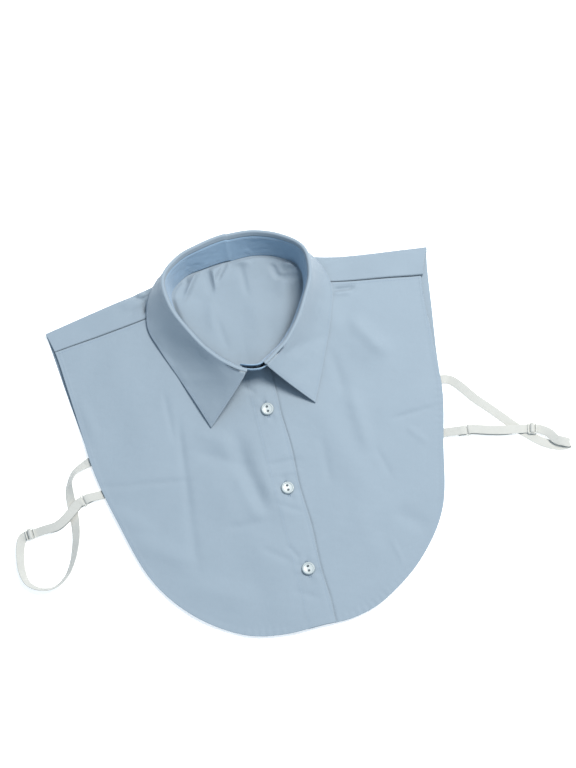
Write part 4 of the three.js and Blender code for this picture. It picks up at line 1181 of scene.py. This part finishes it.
def placket_place(index):
    """The seat of a button on the placket: the highest point of the front under it, and its normal."""
    y = FIRST_BUTTON - index * BUTTON_PITCH
    reach = BUTTON_WIDTH / 2

    def top(dx, dy):
        return front_top(np.array(BUTTON_LINE + dx), np.array(y + dy)) + lap_rise(BUTTON_LINE + dx)

    slope_x = (top(reach, 0) - top(-reach, 0)) / (2 * reach)
    slope_y = (top(0, reach) - top(0, -reach)) / (2 * reach)
    turns = np.arange(24) * math.pi / 12
    raised = 0
    for radius in (0, reach / 2, reach):
        dx, dy = radius * np.cos(turns), radius * np.sin(turns)
        raised = max(raised, float((top(dx, dy) - top(0, 0) - slope_x * dx - slope_y * dy).max()))
    normal = unit(np.array([-slope_x, -slope_y, 1], float))
    return np.array([BUTTON_LINE, y, float(top(0, 0)) + raised]) + normal * GAP, normal


for index in range(BUTTON_COUNT):
    seat, normal = placket_place(index)
    node = f"placket_button_{index + 1}"
    axes = turned_piece(f"button_{index + 1}", node, seat, normal, BUTTON_WIDTH, button_heights, True)
    x_axis, y_axis, z_axis = axes
    # A dark thread blob sunk in each hole: the thread is real, and its near-black colour is painted shade
    # standing in for the hole's shadow.
    knots = seat + z_axis * 0.5 + np.outer([-BUTTON_HOLE_PITCH / 2, BUTTON_HOLE_PITCH / 2], y_axis)
    sewn = sew(knots, np.tile(x_axis, (2, 1)), np.tile(z_axis, (2, 1)), 1.9, 1.3, 0.1)
    make_mesh(f"button_thread_hole_shade_{index + 1}", *sewn, thread_painted_hole_shade, "button")


def stud_heights(radius):
    """The profile of the stud: flat with a round rim."""
    return STUD_THICK * np.sqrt(1 - smooth(0.75, 1, radius) ** 2)


stud_up = (float(fold_plan(1)[3]) - FOLD_DROP) / 2
stud_seat = band_point(1, stud_up, BAND_WALL / 2)
stud_normal = unit(band_point(1, stud_up, BAND_WALL / 2 + 1) - stud_seat)
stud_at = stud_seat + stud_normal * GAP
turned_piece("band_stud_disc", "band_stud", stud_at, stud_normal, STUD_WIDTH, stud_heights, False)


def soft_curve(points, place):
    """Places on a centripetal curve through points, at shares of its count of stretches."""
    points = np.asarray(points, float)
    last = len(points) - 1
    padded = np.concatenate([[2 * points[0] - points[1]], points, [2 * points[-1] - points[-2]]])
    at = np.clip(np.asarray(place, float), 0, 1) * last
    row = np.clip(np.floor(at).astype(int), 0, last - 1)
    t = (at - row)[:, None]
    a, b, c, d = (padded[row + step] for step in range(4))
    steps = (b - a, c - b, d - c)
    first, middle, final = (np.linalg.norm(step, axis=1, keepdims=True) ** 0.5 for step in steps)
    start = ((b - a) / first - (c - a) / (first + middle) + (c - b) / middle) * middle
    end = ((c - b) / middle - (d - b) / (middle + final) + (d - c) / final) * middle
    return b + t * (start + t * (3 * (c - b) - 2 * start - end + t * (2 * (b - c) + start + end)))


def soft_stretch(rows, steps, kept):
    """Stations through chosen points with a roll in degrees: places, and the directions of the width.

    Where the tape stands upright, its width keeps the level direction it had before.
    """
    rows = np.asarray(rows, float)
    share = np.linspace(0, 1, steps + 1)
    place = share * (len(rows) - 1)
    roll = np.radians(np.interp(place, np.arange(len(rows)), rows[:, 3]))
    at = soft_curve(rows[:, :3], share)
    along = unit(soft_curve(rows[:, :3], share + 0.0001) - soft_curve(rows[:, :3], share - 0.0001))
    level = np.stack([-along[:, 1], along[:, 0], 0 * share], -1)
    before = kept
    for index in range(steps + 1):
        if before is not None and np.linalg.norm(level[index]) < 0.8:
            level[index] = 0.001 * before
        if before is not None and level[index] @ before < 0:
            level[index] = -level[index]
        before = level[index] / np.linalg.norm(level[index])
    padded = np.pad(level, ((6, 6), (0, 0)), mode="edge")
    level = unit(averaged(padded, bell(np.arange(-6, 7), 3)))
    wide = level * np.cos(roll)[:, None]
    wide[:, 2] = np.sin(roll)
    wide = unit(wide - (wide * along).sum(-1, keepdims=True) * along)
    half = (np.abs(wide[:, 2]) * TAPE_WIDTH + np.sqrt(1 - wide[:, 2] ** 2) * TAPE_WALL) / 2
    at[:, 2] = np.maximum(at[:, 2], half + TAPE_CLEAR / 2)
    return at, wide


def eased(at):
    """A path with its level bends softened by a bell average over its neighbours, and its ends kept."""
    near = bell(np.arange(-10, 11), 5)
    near /= near.sum()
    padded = np.concatenate([2 * at[:1] - at[10:0:-1], at, 2 * at[-1:] - at[-2:-12:-1]])
    soft = averaged(padded, near)
    return np.stack([soft[:, 0], soft[:, 1], at[:, 2]], -1)


def tape_piece(name, node, at, wide):
    """A tape: a flat round-edged section carried along stations, smoothed between them."""
    run = run_along(at)
    keep = np.concatenate([[True], np.diff(run) > 1e-6])
    at, wide, run = at[keep], wide[keep], run[keep]
    places = np.linspace(0, run[-1], int(run[-1] / 0.7))
    at = at_run(places, run, at)
    wide = unit(at_run(places, run, wide))
    along = unit(np.gradient(at, axis=0))
    thick = unit(np.cross(along, wide))
    turns = np.linspace(0, 2 * math.pi, 29)[:-1]
    across = TAPE_WIDTH / 2 * np.sign(np.cos(turns)) * np.abs(np.cos(turns)) ** 0.6
    deep = 0.92 * TAPE_WALL / 2 * np.sign(np.sin(turns)) * np.abs(np.sin(turns)) ** 0.35
    points = at[:, None] + wide[:, None] * across[None, :, None] + thick[:, None] * deep[None, :, None]
    count, sides = points.shape[:2]
    ids = wrapped(count, sides)
    pattern = np.stack([places[:, None] + 0 * across, across + 0 * places[:, None]], -1).reshape(-1, 2)
    faces = quads(ids)
    flat = points.reshape(-1, 3)
    ends = [ids[0, :-1].tolist(), ids[-1, :-1][::-1].tolist()]
    turned = outward(flat, faces)
    if not np.array_equal(turned, faces):
        ends = [end[::-1] for end in ends]
    return make_mesh(name, flat, turned.tolist() + ends, tape_elastic, "elastic", node, pattern)


def bent_wire(along, across, corner, thick):
    """A round wire bent to a rectangle with round corners: points and faces about the origin."""
    path = []
    for quarter, (sx, sy) in enumerate(((1, 1), (-1, 1), (-1, -1), (1, -1))):
        angle = math.pi / 2 * (quarter + np.linspace(0, 1, 7))
        path.append(np.stack([sx * (along / 2 - corner) + corner * np.cos(angle),
                              sy * (across / 2 - corner) + corner * np.sin(angle)], -1))
    path = np.concatenate(path)
    ahead = np.roll(path, -1, axis=0) - np.roll(path, 1, axis=0)
    out = unit(np.stack([ahead[:, 1], -ahead[:, 0]], -1))
    turns = np.arange(WIRE_SIDES) * 2 * math.pi / WIRE_SIDES
    flat = path[:, None] + out[:, None] * (thick / 2 * np.cos(turns))[None, :, None]
    high = thick / 2 * np.sin(turns)[None] + 0 * path[:, :1]
    points = np.concatenate([flat, high[..., None]], -1)
    ids = wrapped(len(path), WIRE_SIDES)
    ids = np.concatenate([ids, ids[:1]])
    points = points.reshape(-1, 3)
    return points, outward(points, quads(ids)).tolist()


def bar(across, thick):
    """A round bar along Y with pointed ends, about the origin."""
    rings = np.linspace(0, math.pi, 13)
    turns = np.linspace(0, 2 * math.pi, WIRE_SIDES + 1)[:-1]
    radius = thick / 2 * np.clip(np.sin(rings) * 3, 0.001, 1)
    x = radius[:, None] * np.cos(turns)
    z = radius[:, None] * np.sin(turns)
    y = -np.cos(rings)[:, None] * across / 2 + 0 * x
    points = np.stack([x, y, z], -1)
    ids = wrapped(len(rings), WIRE_SIDES)
    faces = quads(ids).tolist() + [ids[0, :-1].tolist(), ids[-1, :-1][::-1].tolist()]
    return points.reshape(-1, 3), faces


def frame_piece(name, node, parts, centre, angle):
    """A ring or a slider: its parts turned about Z and moved to their place."""
    points, faces = joined(parts)
    cos, sin = math.cos(angle), math.sin(angle)
    turn = np.array([[cos, sin, 0], [-sin, cos, 0], [0, 0, 1]])
    return make_mesh(name, points @ turn + centre, faces, ring_plastic, "clear_plastic", node)


def tape_side(spec):
    """Everything at one side: the tab round its ring, the slider and the long tape."""
    side, name = spec["side"], spec["name"]

    def edge_at(y, layer):
        place = bisect(1, 8, lambda row: y - outline(side, row, layer)[1])
        return float(outline(side, place, layer)[0])

    def direction(degrees):
        angle = math.radians(degrees)
        return np.array([side * math.cos(angle), -math.sin(angle), 0])

    tab_y = TAPE_EXIT - spec["tab_drop"]
    tab_x = edge_at(tab_y, "front")
    seat_z = BACK_FACE + GAP + TAPE_WALL / 2
    low_z = TAPE_WALL + GAP + TAPE_WALL / 2 + TAPE_CLEAR
    turn_radius = WIRE / 2 + GAP + TAPE_WALL / 2
    ring_z = low_z + turn_radius
    ring_centre = np.array([tab_x + side * spec["ring_out"], TAPE_EXIT - spec["ring_drop"], ring_z])
    out = direction(spec["heading"])
    across = np.array([-out[1], out[0], 0])

    def beside(centre, along, t, z):
        point = centre + along * t
        return np.array([point[0], point[1], z])

    def hairpin(centre, along, sign):
        rows = []
        for angle in np.linspace(0, math.pi, 13):
            ahead = sign * turn_radius * math.sin(angle)
            rows.append(beside(centre, along, ahead, ring_z + turn_radius * math.cos(angle)))
        return rows

    half_ring = RING_ALONG / 2 - 0.6
    tab_bar = beside(ring_centre, out, -half_ring, ring_z)
    tape_bar = beside(ring_centre, out, half_ring, ring_z)
    tab_start = np.array([tab_x - side * TAPE_SEAT, tab_y + 1, seat_z])
    tab_edge = np.array([tab_x + side, tab_y, seat_z])
    tab_top = beside(tab_bar, out, -FLAT_END, ring_z + turn_radius)
    tab = [tab_start, mix(tab_start, tab_edge, 0.5), tab_edge, mix(tab_edge, tab_top, 0.5), tab_top]
    tab += hairpin(tab_bar, out, 1)
    tab += [beside(tab_bar, out, -FLAT_END, low_z), beside(tab_bar, out, -2 * FLAT_END, low_z)]
    tape_piece(f"tab_elastic_{name}", f"tab_{name}", np.array(tab), np.tile(across, (len(tab), 1)))

    slider_centre = ring_centre + np.array([side * spec["slider_out"], -spec["slider_drop"], 0])
    slider_out = direction(spec["slider_heading"])
    slider_wide = np.array([-slider_out[1], slider_out[0], 0])
    bar_turn = SLIDER_BAR / 2 + GAP + TAPE_WALL / 2
    bar_z = low_z + bar_turn
    weave = [(bar_turn + t, z) for t, z in ((WEAVE_REACH, 0), (FLAT_END, 0), (1, 0), (0.3, 0.3), (0, 1))]
    woven = [beside(slider_centre, slider_out, t, low_z + z) for t, z in weave]
    for angle in np.linspace(0, math.pi, 13):
        ahead = bar_turn * math.cos(angle)
        woven.append(beside(slider_centre, slider_out, ahead, bar_z + bar_turn * math.sin(angle)))
    woven += [beside(slider_centre, slider_out, -t, low_z + z) for t, z in weave[::-1]]

    exit_x = edge_at(TAPE_EXIT, "back")
    inside = [(exit_x + side * t, TAPE_EXIT + 0.5, seat_z, 0) for t in (-TAPE_SEAT, -TAPE_SEAT / 2, 0, 2)]
    route = [(ring_centre[0] + x, ring_centre[1] + y, z, roll) for x, y, z, roll in spec["route"]]
    soft_at, soft_wide = soft_stretch([*inside, *route, (*woven[0], 0)], len(route) * 12, None)

    def keep(width, before):
        return -width if width @ before < 0 else width

    woven_wide = keep(slider_wide, soft_wide[-1])
    leave = woven[-1]
    arrive = beside(tape_bar, out, FLAT_END, ring_z + turn_radius)
    halfway = mix(leave, arrive, 0.5)
    halfway[1] = ring_centre[1] - spec["middle_drop"]
    rising = mix(leave, halfway, 0.4)
    rising[2] = low_z + 1.5
    upper_rows = [(*leave, 0), (*rising, 0), (*halfway[:2], ring_z + turn_radius, 0), (*arrive, 0)]
    upper_at, upper_wide = soft_stretch(upper_rows, 40, woven_wide)
    upper_at = eased(upper_at)
    pin_wide = keep(across, upper_wide[-1])
    pin = hairpin(tape_bar, out, -1)
    lower_end = beside(tape_bar, out, FLAT_END, low_z)
    rest = mix(leave, halfway, 0.55)
    lower_rows = [(*lower_end, 0), (*halfway[:2], low_z, 0), (*rest[:2], low_z, 0)]
    lower_at, lower_wide = soft_stretch(lower_rows, 24, pin_wide)
    lower_at = eased(lower_at)
    at = np.concatenate([soft_at, woven[1:], upper_at[1:], pin, lower_at])
    wide = np.concatenate([soft_wide, np.tile(woven_wide, (len(woven) - 1, 1)), upper_wide[1:],
                           np.tile(pin_wide, (len(pin), 1)), lower_wide])
    tape_piece(f"tape_elastic_{name}", f"tape_{name}", at, wide)

    ring = bent_wire(2 * half_ring, RING_ACROSS - 0.4, RING_CORNER, WIRE - 0.4)
    frame_piece(f"ring_wire_{name}", f"ring_{name}", [ring], ring_centre, math.atan2(out[1], out[0]))
    inner = SLIDER_ACROSS - SLIDER_BAR
    slider = [bent_wire(SLIDER_ALONG, inner, 1.2, SLIDER_BAR - 0.3), bar(inner, SLIDER_BAR - 0.3)]
    slider_at = np.array([slider_centre[0], slider_centre[1], bar_z])
    slider_angle = math.atan2(slider_out[1], slider_out[0])
    frame_piece(f"slider_plate_{name}", f"slider_{name}", slider, slider_at, slider_angle)


for spec in TAPE_SIDES:
    tape_side(spec)


def plane(name, size, z, finish):
    """A level square."""
    mesh = bpy.data.meshes.new(name)
    half = size / 2
    corners = [(-half, -half, z), (half, -half, z), (half, half, z), (-half, half, z)]
    mesh.from_pydata(corners, [], [(0, 1, 2, 3)])
    mesh.materials.append(finish)
    made = bpy.data.objects.new(name, mesh)
    bpy.context.scene.collection.objects.link(made)
    return made


floor_finish = Finish("pale floor", (0.93, 0.93, 0.93), 0.9,
                      Emission_Strength=0.5, Emission_Color=(1, 1, 1, 1)).material
plane("floor", 6.0, -0.0003, floor_finish)

world = bpy.data.worlds.new("soft white")
world.use_nodes = True
world.node_tree.nodes["Background"].inputs["Color"].default_value = (0.74, 0.92, 1.1, 1)
world.node_tree.nodes["Background"].inputs["Strength"].default_value = 0.62
bpy.context.scene.world = world


def soft_light(name, at, aim, size, power, colour):
    """A square soft light in metres that faces a point."""
    lamp = bpy.data.lights.new(name, "AREA")
    lamp.shape = "SQUARE"
    lamp.size = size
    lamp.energy = power
    lamp.color = colour
    made = bpy.data.objects.new(name, lamp)
    made.location = at
    back = unit(np.array(at, float) - np.array(aim, float))
    right = unit(np.cross(np.array([0, 1, 0.01]), back))
    turn = np.stack([right, np.cross(back, right), back], -1)
    made.rotation_euler = Matrix(turn.tolist()).to_euler()
    bpy.context.scene.collection.objects.link(made)


soft_light("window", (0.64, 0.3, 1.6), (0, 0, 0), 0.6, 41.5, (1, 0.95, 0.89))

camera = bpy.data.cameras.new("camera")
camera.sensor_fit = "VERTICAL"
camera.sensor_height = 36.0
camera.lens = CAMERA_LENS
tilt, turn = math.radians(CAMERA_TILT), math.radians(CAMERA_TURN)
view_back = np.array([math.sin(turn) * math.cos(tilt), -math.cos(turn) * math.cos(tilt), math.sin(tilt)])
view_right = np.array([math.cos(turn), math.sin(turn), 0])
view_up = np.cross(view_back, view_right)
focal = CAMERA_FAR * 1000 / MM_PER_PIXEL
right, down = (place - middle for place, middle in zip(ORIGIN_PIXEL, PICTURE_MIDDLE))
ray = -view_back + right / focal * view_right - down / focal * view_up
view_place = -ray * CAMERA_FAR
shot = bpy.data.objects.new("camera", camera)
turned = np.stack([view_right, view_up, view_back], -1)
shot.matrix_world = Matrix.Translation(view_place.tolist()) @ Matrix(turned.tolist()).to_4x4()
bpy.context.scene.collection.objects.link(shot)
bpy.context.scene.camera = shot
bpy.context.scene.view_settings.view_transform = "Standard"
